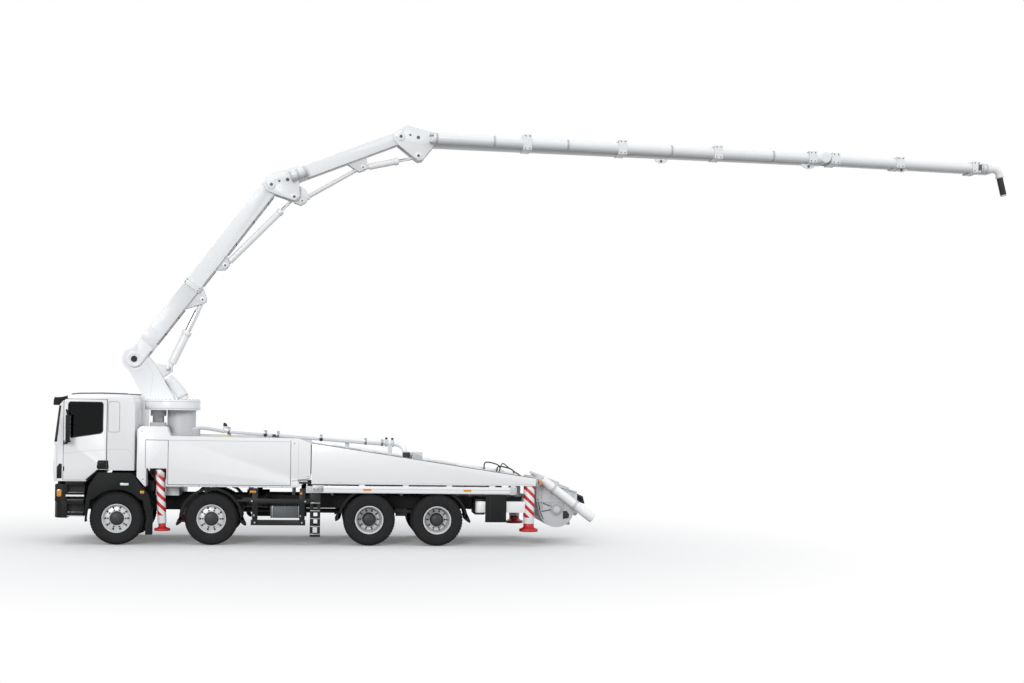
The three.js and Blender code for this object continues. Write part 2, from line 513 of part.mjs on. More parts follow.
// Ring segment of a mudguard between two angles (degrees, from the rear horizontal upwards).
const guardArc = (x, from, to, y0, y1, s) => {
  const steps = 7;
  const ring = [];
  for (let k = 0; k <= steps; k += 1) {
    const a = rad(from + (to - from) * k / steps);
    ring.push([x + ARCH_RADIUS * Math.cos(a), TYRE_RADIUS + ARCH_RADIUS * Math.sin(a)]);
  }
  for (let k = steps; k >= 0; k -= 1) {
    const a = rad(from + (to - from) * k / steps);
    ring.push([x + (ARCH_RADIUS + 16) * Math.cos(a), TYRE_RADIUS + (ARCH_RADIUS + 16) * Math.sin(a)]);
  }
  return sidePlate(ring, s * y0, s * y1);
};

// Side frame between the second and third axles: mudguard, guard rails, tank and boarding ladder.
const GUARD_EDGE = AXLE_X[1] - 1 + Math.sqrt(ARCH_RADIUS ** 2 - (930 - TYRE_RADIUS) ** 2);
const sideFrame = (s) => join(
  guardArc(AXLE_X[1], 4, 176, ARCH_INNER_Y, HALF_WIDTH - 30, s),
  box(AXLE_X[1] - 30, AXLE_X[1] + 30, s * (RAIL_Y + RAIL_WEB + SEAT), s * 1200, ARCH_TOP - 2, ARCH_TOP + 28),
  box(AXLE_X[1] - 30, AXLE_X[1] + 30, s * (RAIL_Y + RAIL_WEB + SEAT), s * 520, 930, ARCH_TOP + 23),
  box(GUARD_EDGE, 2700, s * (HALF_WIDTH - 120), s * (HALF_WIDTH - 60), 890, 930),
  box(2620, 3850, s * (HALF_WIDTH - 60), s * (HALF_WIDTH - 15), 862, 955),
  box(2660, 3760, s * (HALF_WIDTH - 60), s * (HALF_WIDTH - 20), 415, 525),
  [2740, 3690].map((x) => box(x - 55, x + 55, s * (HALF_WIDTH - 58), s * (HALF_WIDTH - 18), 420, 1170)),
  [2740, 3690].map((x) => box(x - 40, x + 40, s * (RAIL_Y + RAIL_WEB + SEAT), s * (HALF_WIDTH - 30),
    780, 860)),
  box(3050, 3665, s * 620, s * 1150, 560, 800),
  cut(box(3850, 4060, s * (HALF_WIDTH - 130), s * (HALF_WIDTH - 30), 180, 1070),
    [260, 420, 580, 740].map((z) => box(3910, 4000, s * (HALF_WIDTH - 200), s * HALF_WIDTH, z, z + 120))),
  box(3700, 3900, s * (HALF_WIDTH - 110), s * (HALF_WIDTH - 40), 880, 950));
SIDES.forEach(({ name, s }) => node(`side_frame_${name}`, sideFrame(s), 'plastic'));

const GUARD_OUT = HALF_WIDTH - 58;
// Tie between the two rear guards, at 65 degrees round each arc.
const TIE = { out: ARCH_RADIUS * Math.cos(rad(65)), low: TYRE_RADIUS + ARCH_RADIUS * 0.87 };
const rearGuards = join(
  SIDES.map(({ s }) => join(
    guardArc(AXLE_X[2], 60, 172, 620, GUARD_OUT, s),
    guardArc(AXLE_X[3], 6, 120, 620, GUARD_OUT, s),
    box(AXLE_X[2] + TIE.out, AXLE_X[3] - TIE.out, s * 640, s * 700, TIE.low, TIE.low + 30))),
  [AXLE_X[2], AXLE_X[3]].map((x) => box(x - 30, x + 30, -605, 605, RAIL_TOP + SEAT, RAIL_TOP + 45)),
  [AXLE_X[2], AXLE_X[3]].flatMap((x) => SIDES.map(({ s }) => join(
    box(x - 30, x + 30, s * 570, s * 605, RAIL_TOP + 20, ARCH_TOP + 18),
    box(x - 30, x + 30, s * 570, s * 700, ARCH_TOP + 1, ARCH_TOP + 23)))));
node('rear_mudguards', rearGuards, 'plastic');

// ---------------------------------------------------------------- outriggers
const frontBeam = (s, i) => join(
  box(BEAM_X[i] - BEAM_WIDTH / 2, BEAM_X[i] + BEAM_WIDTH / 2, s * FRONT_LEG_Y, -s * 700,
    beamMiddleZ - BEAM_HEIGHT / 2, beamMiddleZ + BEAM_HEIGHT / 2));
const leanStep = (z) => (FRONT_LEG_TOP - z) * Math.tan(rad(FRONT_LEG_LEAN));
const frontLegAt = (s, i, z) => [BEAM_X[i] - 25 + leanStep(z), s * FRONT_LEG_Y, z];
const frontBore = (s, i) => bar(frontLegAt(s, i, LEG_BOTTOM - 40), frontLegAt(s, i, FRONT_LEG_TOP - 120),
  FRONT_LEG_ROD + PIN_GAP + 0.1, 8);
const sleeve = (s, i) => cut(
  bar(frontLegAt(s, i, LEG_BOTTOM), frontLegAt(s, i, FRONT_LEG_TOP), FRONT_LEG_RADIUS, 12),
  frontBore(s, i));
const frontLeg = (s, i) => join(
  bar(frontLegAt(s, i, LEG_BOTTOM - 30), frontLegAt(s, i, FRONT_LEG_TOP - 160), FRONT_LEG_ROD, 8),
  bar(frontLegAt(s, i, LEG_BOTTOM - 90), frontLegAt(s, i, LEG_BOTTOM - RUN), 72, 8),
  bar(frontLegAt(s, i, FOOT_BOTTOM), frontLegAt(s, i, FOOT_BOTTOM + 62), 158, 12));
SIDES.forEach(({ name, s, i }) => {
  node(`front_beam_${name}`, cut(join(frontBeam(s, i), sleeve(s, i)), frontBore(s, i)), 'whitePaint');
  node(`front_leg_${name}`, frontLeg(s, i), 'redPaint');
});

const rearArm = (s) => {
  const { x, y } = REAR_ARM_PIVOT;
  const [low, high] = REAR_ARM_Z;
  const tube = (z0, z1, r) => bar([REAR_LEG_X, s * REAR_LEG_Y, z0], [REAR_LEG_X, s * REAR_LEG_Y, z1], r, 12);
  return cut(join(
    bar([x, s * y, low - 6 + SEAT], [x, s * y, high + 6 - SEAT], 85, 12),
    box(x, REAR_LEG_X - 60, s * (y - 90), s * (y + 90), low, high),
    tube(LEG_BOTTOM + 30, REAR_LEG_TOP, REAR_LEG_RADIUS),
    box(7462, 7900, s * (y + 80), s * (HALF_WIDTH - 12), 500, SIDE_RAIL_Z[0] - 22)),
  tube(LEG_BOTTOM, REAR_LEG_TOP - 90, REAR_LEG_RADIUS - 20));
};
const rearLeg = (s) => {
  const tube = (z0, z1, r) => bar([REAR_LEG_X, s * REAR_LEG_Y, z0], [REAR_LEG_X, s * REAR_LEG_Y, z1], r, 12);
  return join(tube(LEG_BOTTOM - 30, REAR_LEG_TOP - 130, REAR_LEG_RADIUS - 20 - PIN_GAP - 0.1),
    tube(LEG_BOTTOM - 90, LEG_BOTTOM + 30 - RUN, REAR_LEG_RADIUS - 16),
    tube(FOOT_BOTTOM + 15, FOOT_BOTTOM + 95, 196));
};
SIDES.forEach(({ name, s }) => {
  node(`rear_arm_${name}`, rearArm(s), 'whitePaint');
  node(`rear_leg_${name}`, rearLeg(s), 'redPaint');
});

// ---------------------------------------------------------------- pump, hopper, agitator and grate
const hopperTop = (x) => HOPPER.top - (x - HOPPER.front) * HOPPER.slope;
const trough = (inside) => {
  const { front, rear, troughX, troughZ } = HOPPER;
  const r = HOPPER.troughRadius - inside;
  const points = [[front + inside, hopperTop(front) + inside * 4], [front + inside, 1000]];
  for (let k = 0; k <= 12; k += 1) {
    const a = rad(190 + 155 * k / 12);
    points.push([troughX + r * Math.cos(a), troughZ + r * Math.sin(a)]);
  }
  points.push([rear - inside, 900], [rear - inside, hopperTop(rear) + inside * 4]);
  return points;
};
const sideTube = (s) => bar([8700, s * (HOPPER.halfWidth + 80), 1385],
  [9800, s * (HOPPER.halfWidth + 80), 566], 92, 12);
node('hopper', join(
  cut(sidePlate(trough(0), -HOPPER.halfWidth, HOPPER.halfWidth),
    sidePlate(trough(HOPPER.wall), -HOPPER.halfWidth + HOPPER.wall, HOPPER.halfWidth - HOPPER.wall)),
  SIDES.map(({ s }) => cut(sideTube(s), box(8500, 10200, 0, s * (HOPPER.halfWidth - 1), 300, 1500))),
  box(FRAME_REAR + SEAT, HOPPER.front + 26, -420, -330, 860, 960),
  box(FRAME_REAR + SEAT, HOPPER.front + 26, 330, 420, 860, 960)), 'greyPaint');

node('agitator', join(
  crossBar(HOPPER.troughX, HOPPER.troughZ, -HOPPER.halfWidth + HOPPER.wall + SEAT,
    HOPPER.halfWidth - HOPPER.wall - SEAT, 42, 10),
  [-560, -280, 280, 560].map((y, k) => {
    const a = rad(45 + 90 * k);
    const reach = 290;
    return bar([HOPPER.troughX - reach * Math.cos(a), y, HOPPER.troughZ - reach * Math.sin(a)],
      [HOPPER.troughX + reach * Math.cos(a), y, HOPPER.troughZ + reach * Math.sin(a)], 34, 8);
  })), 'castIron');

// The grate lies on the hopper's sloping rim and lifts about its front edge.
const GRATE = { thick: 26, bars: 9 };
const grateStart = HOPPER.front + 12;
const grateEnd = HOPPER.rear - 10;
const grateSlab = (x0, x1, y0, y1) => sidePlate([
  [x0, hopperTop(x0) + SEAT], [x1, hopperTop(x1) + SEAT],
  [x1, hopperTop(x1) + SEAT + GRATE.thick], [x0, hopperTop(x0) + SEAT + GRATE.thick]], y0, y1);
const grateHalf = HOPPER.halfWidth - 8;
node('hopper_grate', join(
  grateSlab(grateStart, grateStart + 60, -grateHalf, grateHalf),
  grateSlab(grateEnd - 60, grateEnd, -grateHalf, grateHalf),
  [-1, 1].map((s) => grateSlab(grateStart, grateEnd, s * grateHalf, s * (grateHalf - 60))),
  Array.from({ length: GRATE.bars }, (_, k) => {
    const y = -grateHalf + 60 + (k + 1) * (2 * grateHalf - 120) / (GRATE.bars + 1);
    return grateSlab(grateStart + 10, grateEnd - 10, y - 12, y + 12);
  })), 'greyPaint');

const pumpLine = (x) => 880 + (HOPPER.front - x) * 0.14;
node('pump_unit', join(
  [-190, 190].map((y) => bar([HOPPER.front - 30, y, pumpLine(HOPPER.front)], [6300, y, pumpLine(6300)],
    125, 10)),
  [-190, 190].map((y) => bar([6310, y, pumpLine(6310)], [4700, y, pumpLine(4700)], 80, 10)),
  sidePlate([[6150, pumpLine(6150) - 82], [6500, pumpLine(6500) - 80], [6500, pumpLine(6500) + 160],
    [6150, pumpLine(6150) + 160]], -330, 330),
  box(4640, 4760, -300, 300, pumpLine(4700) - 110, pumpLine(4700) + 110),
  box(HOPPER.front - 60, HOPPER.front - SEAT, -320, 320, 940, 1060)), 'greyPaint');

// ---------------------------------------------------------------- turret
const headPin = (half) => crossBar(PIVOT_1.x, PIVOT_1.z, -half, half, HEAD_PIN_RADIUS, 20);
const basePin = crossBar(LIFT_BASE.x, LIFT_BASE.z, -90, 90, CYLINDER_PIN_RADIUS, 10);
const turretEar = (y0, y1) => sidePlate([[540, 3420], [760, 3420], [LIFT_BASE.x + 70, LIFT_BASE.z - 50],
  [LIFT_BASE.x + 60, LIFT_BASE.z + 60], [LIFT_BASE.x - 40, LIFT_BASE.z + 80], [470, 3720]], y0, y1);
const turret = join(
  bar([SLEW_X, 0, SLEW_Z[0]], [SLEW_X, 0, SLEW_Z[1]], SLEW_RADIUS, 24),
  sidePlate([[398, SLEW_Z[1] - 10], [1013, SLEW_Z[1] - 10], [600, 3660], [390, 3900],
    [PIVOT_1.x, PIVOT_1.z + 150], [-50, 3840], [-70, 3760]], -HEAD_HALF_WIDTH, HEAD_HALF_WIDTH),
  crossBar(PIVOT_1.x, PIVOT_1.z, -HEAD_HALF_WIDTH, HEAD_HALF_WIDTH, HEAD_RADIUS, 16),
  cut(headPin(HEAD_HALF_WIDTH + 50), SIDES.map(({ s }) =>
    crossBar(PIVOT_1.x, PIVOT_1.z, s * (HEAD_HALF_WIDTH - 40), s * (HEAD_HALF_WIDTH + 80), 70, 8))),
  turretEar(60, 95), turretEar(-60, -95), basePin,
  bar([1190, 0, SLEW_Z[1] - 10], [850, 0, 3400], 98, 8));
node('turret', turret, 'whitePaint');

// ---------------------------------------------------------------- boom
// Each arm has its own frame: u along the arm from its root pivot, w square to it and upwards.
const armFrame = (parent, angle, u = 0) => {
  const frame = new THREE.Group();
  frame.position.x = u;
  frame.rotation.y = -rad(angle);
  parent.add(frame);
  return frame;
};
const boom = new THREE.Group();
boom.position.set(PIVOT_1.x, 0, PIVOT_1.z);
truck.add(boom);
const frame1 = armFrame(boom, ARM_ANGLE[0]);
const frame2 = armFrame(frame1, ARM_ANGLE[1] - ARM_ANGLE[0], ARM_LENGTH[0]);
const frame3 = armFrame(frame2, ARM_ANGLE[2] - ARM_ANGLE[1], ARM_LENGTH[1]);
const frame4 = armFrame(frame3, ARM_ANGLE[3] - ARM_ANGLE[2], ARM_LENGTH[2]);

const roundEnd = (u, radius, half) => crossBar(u, 0, -half, half, radius, 14);
const pinThrough = (u, half, radius = PIN_RADIUS) => crossBar(u, 0, -half, half, radius, 10);
const ears = (points, inner, outer) => join(
  sidePlate(points, inner, outer), sidePlate(points, -inner, -outer));
const EAR_IN = EYE_HALF_WIDTH + 8;
const clampBand = (u, w0, w1, y0, y1, width = 150) => box(u - width / 2, u + width / 2, y0, y1, w0, w1);

// Arm 1: root fork outside the turret head, cylinder brackets below, pin for arm 2 at its end.
const h1 = ARM_HALF_HEIGHT[0];
const forkIn = HEAD_HALF_WIDTH + RUN;
const forkOut = forkIn + 42;
const forkHole = crossBore(0, 0, forkOut + 10, HEAD_PIN_RADIUS + PIN_GAP);
const arm1 = cut(join(
  box(340, ARM_LENGTH[0], -ARM_HALF_WIDTH, ARM_HALF_WIDTH, -h1, h1),
  roundEnd(ARM_LENGTH[0], h1, ARM_HALF_WIDTH),
  box(340, 760, -forkOut, forkOut, -h1, h1),
  [-1, 1].map((s) => join(
    box(0, 350, s * forkIn, s * forkOut, -h1, h1),
    crossBar(0, 0, s * forkIn, s * forkOut, h1, 14))),
  pinThrough(ARM_LENGTH[0], ARM_HALF_WIDTH + RUN + FORK_PLATE + 12),
  ears([[1450, -h1 + 5], [2060, -h1 + 5], [LIFT_PIN.u + 80, LIFT_PIN.w - 40],
    [LIFT_PIN.u, LIFT_PIN.w - 85], [LIFT_PIN.u - 80, LIFT_PIN.w - 40]], EAR_IN, EAR_IN + 35),
  ears([[2500, -h1 + 5], [2900, -h1 + 5], [CYL_2_BASE.u + 70, CYL_2_BASE.w - 60],
    [CYL_2_BASE.u - 70, CYL_2_BASE.w - 60]], EAR_IN, EAR_IN + 35),
  crossBar(CYL_2_BASE.u, CYL_2_BASE.w, -EAR_IN - 30, EAR_IN + 30, CYLINDER_PIN_RADIUS, 10),
  clampBand(1960, -h1 - 22, h1 + 22, -ARM_HALF_WIDTH - 22, ARM_HALF_WIDTH + 22, 120),
  bar([180, ARM_HALF_WIDTH + 130, 0], [ARM_LENGTH[0] - 10, ARM_HALF_WIDTH + 130, 0], PIPE_RADIUS, 8),
  [700, 1960, 3100, 4300].map((u) => box(u - 45, u + 45, ARM_HALF_WIDTH - 10,
    ARM_HALF_WIDTH + 130 + PIPE_RADIUS + 12, -85, 85))), forkHole);
node('arm_1', arm1, 'whitePaint', frame1);

// Arm 2: knuckle plates outside the end of arm 1, a lever with its brace, brackets for arm 3's cylinder.
const plateIn = ARM_HALF_WIDTH + RUN;
const plateOut = plateIn + FORK_PLATE;
const h2 = ARM_HALF_HEIGHT[1];
const pivotHole = crossBore(0, 0, plateOut + 30, PIN_RADIUS + PIN_GAP);
const knuckle2 = [[-110, 150], [90, 208], [674, 173], [700, 90], [561, -150], [470, -430],
  [350, -490], [270, -440], [-60, -160], [-150, -60], [-155, 70]];
const lever2 = [[330, -330], [520, -200], [640, -330], [645, -480], [540, -585], [420, -606], [300, -500]];
const arm2 = cut(join(
  ears(knuckle2, plateIn, plateOut),
  box(300, 700, -plateOut, plateOut, -h2 + 10, h2),
  box(300, ARM_LENGTH[1], -ARM_HALF_WIDTH, ARM_HALF_WIDTH, -h2, h2),
  roundEnd(ARM_LENGTH[1], h2, ARM_HALF_WIDTH),
  pinThrough(ARM_LENGTH[1], ARM_HALF_WIDTH + RUN + FORK_PLATE + 12),
  [-1, 1].map((s) => crossBar(CYL_2_PIN.u, CYL_2_PIN.w, s * EAR_IN, s * (plateIn + 5), 60, 8)),
  ears(lever2, EAR_IN, EAR_IN + 40),
  box(560, 650, -EAR_IN - 30, EAR_IN + 30, -540, -440),
  bar([600, 0, -490], [1860, 0, -300], 42, 10),
  ears([[1650, -h2 + 5], [2120, -h2 + 5], [CYL_3_BASE.u + 75, CYL_3_BASE.w - 50],
    [CYL_3_BASE.u - 110, CYL_3_BASE.w - 60], [1780, -300]], EAR_IN, EAR_IN + 35),
  box(1790, 1870, -EAR_IN - 30, EAR_IN + 30, -345, -255),
  crossBar(CYL_3_BASE.u, CYL_3_BASE.w, -EAR_IN - 30, EAR_IN + 30, CYLINDER_PIN_RADIUS, 10),
  bar([440, -plateOut - 60, 7], [780, -plateOut - 60, 7], 95, 8),
  box(540, 660, -plateOut - 60, -plateOut + 10, -50, 50),
  bar([60, ARM_HALF_WIDTH + 150, 0], [ARM_LENGTH[1] - 10, ARM_HALF_WIDTH + 150, 0], PIPE_RADIUS, 8),
  [600, 1500, 2400].map((u) => box(u - 45, u + 45, ARM_HALF_WIDTH - 10,
    ARM_HALF_WIDTH + 150 + PIPE_RADIUS + 12, -85, 85))), pivotHole);
node('arm_2', arm2, 'whitePaint', frame2);

// Arm 3: a long tapered box beam with the jacketed delivery pipe beside it.
const taper = (u0, u1, top0, bottom0, top1, bottom1, half) => sidePlate(
  [[u0, bottom0], [u1, bottom1], [u1, top1], [u0, top0]], -half, half);
const knuckle3 = [[-140, 60], [114, 252], [450, 172], [700, 128], [715, -150], [540, -380],
  [480, -470], [384, -490], [300, -440], [-60, -170], [-150, -60]];
const BANDS_3 = [2710, 4800, 6940];
const BAND_OUT = OUTER_PIPE_Y - OUTER_PIPE_RADIUS - 14;
const pipeBand = (u, w0, w1, inner) => clampBand(u, w0, w1, BAND_OUT, inner, 185);
const half3 = ARM_3_HALF_WIDTH;
const top3 = (u) => 150 - u * 45 / ARM_LENGTH[2];
const bottom3 = (u) => top3(u) - ARM_3_DEPTH.root - u * (ARM_3_DEPTH.end - ARM_3_DEPTH.root) / ARM_LENGTH[2];
const drumIn = -(half3 + FORK_PLATE + 2 * RUN);
const arm3 = cut(join(
  ears(knuckle3, plateIn, plateOut),
  box(300, 720, -plateOut, plateOut, -150, 125),
  taper(300, ARM_LENGTH[2], top3(300), bottom3(300), 100, -120, half3),
  roundEnd(ARM_LENGTH[2], 112, half3),
  pinThrough(ARM_LENGTH[2], half3 + RUN + FORK_PLATE - 15, 50),
  [-1, 1].map((s) => crossBar(CYL_3_PIN.u, CYL_3_PIN.w, s * EAR_IN, s * (plateIn + 5), 60, 8)),
  bar([700, OUTER_PIPE_Y, OUTER_PIPE_W], [ARM_LENGTH[2], OUTER_PIPE_Y, OUTER_PIPE_W],
    OUTER_PIPE_RADIUS, 12),
  box(640, 760, OUTER_PIPE_Y, -plateOut + 10, -90, 60),
  BANDS_3.map((u) => pipeBand(u, bottom3(u) - 14, top3(u) + 14, half3 + 14)),
  box(9000, 9180, BAND_OUT, half3 + 14, bottom3(9100) - 10, top3(9100) + 14),
  crossBar(ARM_LENGTH[2], 0, OUTER_PIPE_Y - OUTER_PIPE_RADIUS, drumIn, 112, 12)), pivotHole);
const arm3End = box(ARM_LENGTH[2] + 50, ARM_LENGTH[2] + 400, OUTER_PIPE_Y - 200, drumIn + 5, -300, -113);
node('arm_3', cut(arm3, arm3End), 'whitePaint', frame3);

// Arm 4: plates outside the end of arm 3, tapered beam, pipe and the down-turned outlet.
const half4 = ARM_4_HALF_WIDTH;
const plate4In = half3 + RUN;
const plate4Out = plate4In + FORK_PLATE - 12;
const START_4 = 130;
const arm4 = cut(join(
  [-1, 1].map((s) => join(crossBar(0, 0, s * plate4In, s * plate4Out, 105, 12),
    box(0, 420, s * plate4In, s * plate4Out, -105, 95))),
  box(180, 420, -plate4Out, plate4Out, -105, 95),
  taper(180, TIP.x - 150, 95, -115, 60, -95, half4),
  bar([START_4, OUTER_PIPE_Y, OUTER_PIPE_W], [TIP.x - 200, OUTER_PIPE_Y, OUTER_PIPE_W],
    OUTER_PIPE_RADIUS, 16, OUTER_PIPE_RADIUS - 10),
  [230, 1730, 3520].map((u) => pipeBand(u, -128, 110, plate4Out + 6)),
  bentTube([[TIP.x - 320, OUTER_PIPE_Y, OUTER_PIPE_W], [TIP.x - 160, OUTER_PIPE_Y, OUTER_PIPE_W],
    [TIP.x - 30, OUTER_PIPE_Y, OUTER_PIPE_W - 60], [TIP.x + 10, OUTER_PIPE_Y, OUTER_PIPE_W - TIP.drop]],
  TIP.radius, 12, 9),
  box(TIP.x - 260, TIP.x - 140, OUTER_PIPE_Y, half4 - 5, -60, 30)),
crossBore(0, 0, plate4Out + 20, 50 + PIN_GAP));
node('arm_4', arm4, 'whitePaint', frame4);

const hoseTop = OUTER_PIPE_W - TIP.drop - 2.4;      // seats its rim on the outlet
node('end_hose', bar([TIP.x + 12, OUTER_PIPE_Y, hoseTop],
  [TIP.x + 12 + END_HOSE.lean, OUTER_PIPE_Y, hoseTop - END_HOSE.length],
  END_HOSE.radius, 10), 'rubber', frame4);

// ---------------------------------------------------------------- boom cylinders
const onArm = (frameIndex, { u, w }) => {
  let x = PIVOT_1.x;
  let z = PIVOT_1.z;
  for (let k = 0; k < frameIndex; k += 1) {
    x += ARM_LENGTH[k] * Math.cos(rad(ARM_ANGLE[k]));
    z += ARM_LENGTH[k] * Math.sin(rad(ARM_ANGLE[k]));
  }
  const a = rad(ARM_ANGLE[frameIndex]);
  return { x: x + u * Math.cos(a) - w * Math.sin(a), z: z + u * Math.sin(a) + w * Math.cos(a) };
};
const cylinder = (name, base, pin, barrelRadius, rodRadius, barrelShare, retraction) => {
  const length = Math.hypot(pin.x - base.x, pin.z - base.z);
  const frame = new THREE.Group();
  frame.position.set(base.x, 0, base.z);
  frame.rotation.y = -Math.atan2(pin.z - base.z, pin.x - base.x);
  truck.add(frame);
  const barrelEnd = length * barrelShare;
  const bore = bar([170, 0, 0], [barrelEnd + 60, 0, 0], rodRadius + PIN_GAP + 0.1, 8);
  const eyeHole = crossBore(0, 0, EYE_HALF_WIDTH + 10, CYLINDER_PIN_RADIUS + PIN_GAP, 8);
  node(`${name}_barrel`, cut(join(
    crossBar(0, 0, -EYE_HALF_WIDTH, EYE_HALF_WIDTH, EYE_RADIUS, 10),
    bar([20, 0, 0], [150, 0, 0], NECK_RADIUS, 8),
    bar([135, 0, 0], [barrelEnd, 0, 0], barrelRadius, 10),
    bar([barrelEnd - 60, 0, 0], [barrelEnd + 25, 0, 0], barrelRadius + 14, 10)), bore, eyeHole),
  'whitePaint', frame);
  node(`${name}_rod`, join(
    bar([180 + retraction, 0, 0], [length - 250, 0, 0], rodRadius, 8),
    bar([length - 260, 0, 0], [length - 20, 0, 0], Math.min(rodRadius, NECK_RADIUS), 8),
    crossBar(length, 0, -EYE_HALF_WIDTH, EYE_HALF_WIDTH, EYE_RADIUS, 10)), 'chrome', frame);
};
cylinder('lift_cylinder', LIFT_BASE, onArm(0, LIFT_PIN), 84, 62, 0.53, 265);
cylinder('arm_2_cylinder', onArm(0, CYL_2_BASE), onArm(1, CYL_2_PIN), 64, 34, 0.8, 260);
cylinder('arm_3_cylinder', onArm(1, CYL_3_BASE), onArm(2, CYL_3_PIN), 66, 34, 0.62, 310);

// ---------------------------------------------------------------- shared origin
const tipReach = onArm(3, { u: TIP.x + 12 + END_HOSE.lean, w: 0 }).x + END_HOSE.radius;
truck.position.x = -(NOSE_X + tipReach) / 2;

export default truck;
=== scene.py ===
"""The visible model of a truck-mounted concrete pump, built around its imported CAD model.

Sizes below are in millimetres, measured from the first axle (x), the middle of the vehicle (y)
and the ground (z); the vehicle faces -X. Shape turns them into the row frame in metres.
"""

import json
import math

import bmesh
import bpy
from mathutils import Matrix, Vector


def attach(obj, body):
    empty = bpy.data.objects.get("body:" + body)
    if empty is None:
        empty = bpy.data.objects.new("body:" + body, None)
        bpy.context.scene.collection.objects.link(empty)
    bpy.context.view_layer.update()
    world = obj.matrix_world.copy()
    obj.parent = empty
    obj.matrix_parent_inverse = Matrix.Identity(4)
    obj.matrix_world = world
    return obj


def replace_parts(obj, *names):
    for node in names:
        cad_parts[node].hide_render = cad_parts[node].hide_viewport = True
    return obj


bl_info = {
    "name": "Concrete pump truck",
    "version": (1, 0, 0),
    "blender": (4, 5, 0),
    "location": "3D View > Sidebar > Pump truck",
    "description": "Builds the visible model of a concrete pump truck around its CAD frame",
    "category": "Object",
}

FIRST_AXLE = -9036.395            # x of the first axle in the row frame
VEHICLE = Matrix.Scale(0.001, 4) @ Matrix.Translation((FIRST_AXLE, 0, 0))
SIDES = (("left", -1), ("right", 1))
HALF_WIDTH = 1250                 # of the bodywork
CAB_HALF = 1175
DOOR_FRONT, DOOR_REAR, DOOR_TOP = -1057, -211, 2925
AXLES = (0, 1870, 5060, 6460)
TYRE_RADIUS = 535
FRONT_TYRES = (1040,)             # middles of a wheel's tyres, across the vehicle
TWIN_TYRES = (760, 1090)
STRIPE_PITCH, STRIPE_GAP = 190, 104  # height of a stripe with its gap, and of the gap alone
STRIPE_SLANT = 0.94               # how far a stripe falls for each unit towards the rear
STRIPES_FROM, STRIPES_OUTSIDE = 600, 995  # lowest z, and least distance from the middle
BEAM_X = (860, 1080)              # front beams, left and right
FRONT_LEG_Y = 1125
REAR_LEG = (8390, 1110)
REAR_HINGE = (7350, 1090)
HOPPER_TUBE_Y = 880
HOPPER_WALL = 796                 # outer face of the hopper's side walls
AGITATOR = (9030, 745)
SLEW_X = 950
PIVOT_1 = (168, 3780)             # arm 1's pivot, as (x, z)
LIFT_BASE = (860, 3590)           # lower pin of the lift cylinder
ARM_ANGLE = (53.6, 22.6, -0.6, -1.1)  # degrees above the horizontal
ARM_LENGTH = (4647, 2937, 9390, 4300)
INNER_PIPE = 73                   # radius of the delivery pipe on arms 1 and 2
OUTER_PIPE = (-262, -18, 104)     # y, w and radius of the jacketed pipe on arms 3 and 4
KNUCKLE_FACE = 190.4              # outer face of a knuckle's plates
FAINT_CLOUD = 1000 / 3            # width of the faint patches in paint and metal
PLASTIC_CLOUD = 125
RUBBER_CLOUD = 1000 / 12
SHARP_EDGE = 35                   # degrees between faces that meet in an edge
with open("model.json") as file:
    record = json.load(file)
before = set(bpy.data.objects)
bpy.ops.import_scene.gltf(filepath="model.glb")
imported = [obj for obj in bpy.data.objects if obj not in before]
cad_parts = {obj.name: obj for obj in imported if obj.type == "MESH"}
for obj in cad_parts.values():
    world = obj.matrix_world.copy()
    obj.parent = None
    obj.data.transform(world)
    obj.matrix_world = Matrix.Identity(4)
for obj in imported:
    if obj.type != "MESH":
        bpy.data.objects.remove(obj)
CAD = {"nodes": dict(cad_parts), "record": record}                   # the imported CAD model: its nodes by name, and its record


# ------------------------------------------------------------------ small kit

def srgb(code, alpha=1.0):
    """Linear colour of an sRGB hex code."""
    parts = [int(code[i:i + 2], 16) / 255 for i in (0, 2, 4)]
    linear = [c / 12.92 if c <= 0.04045 else ((c + 0.055) / 1.055) ** 2.4 for c in parts]
    return (*linear, alpha)


def add_node(tree, kind, inputs=None, **settings):
    """Adds a node, sets its properties, and links or fills its inputs."""
    node = tree.nodes.new(kind)
    for key, value in settings.items():
        setattr(node, key, value)
    for key, value in (inputs or {}).items():
        if isinstance(value, bpy.types.NodeSocket):
            tree.links.new(value, node.inputs[key])
        else:
            node.inputs[key].default_value = value
    return node


def new_tree(name):
    """A material with an empty node tree and its output node."""
    material = bpy.data.materials.new(name)
    material.use_nodes = True
    material.node_tree.nodes.clear()
    return material, material.node_tree, add_node(material.node_tree, "ShaderNodeOutputMaterial")


def noise(tree, scale, low, high, detail=4.0):
    """A value between low and high that varies over the object's own coordinates."""
    place = add_node(tree, "ShaderNodeTexCoord").outputs["Object"]
    grain = add_node(tree, "ShaderNodeTexNoise", {"Vector": place, "Scale": scale, "Detail": detail})
    return add_node(tree, "ShaderNodeMapRange", {
        "Value": grain.outputs["Fac"], "From Min": 0.3, "From Max": 0.7,
        "To Min": low, "To Max": high}).outputs["Result"]


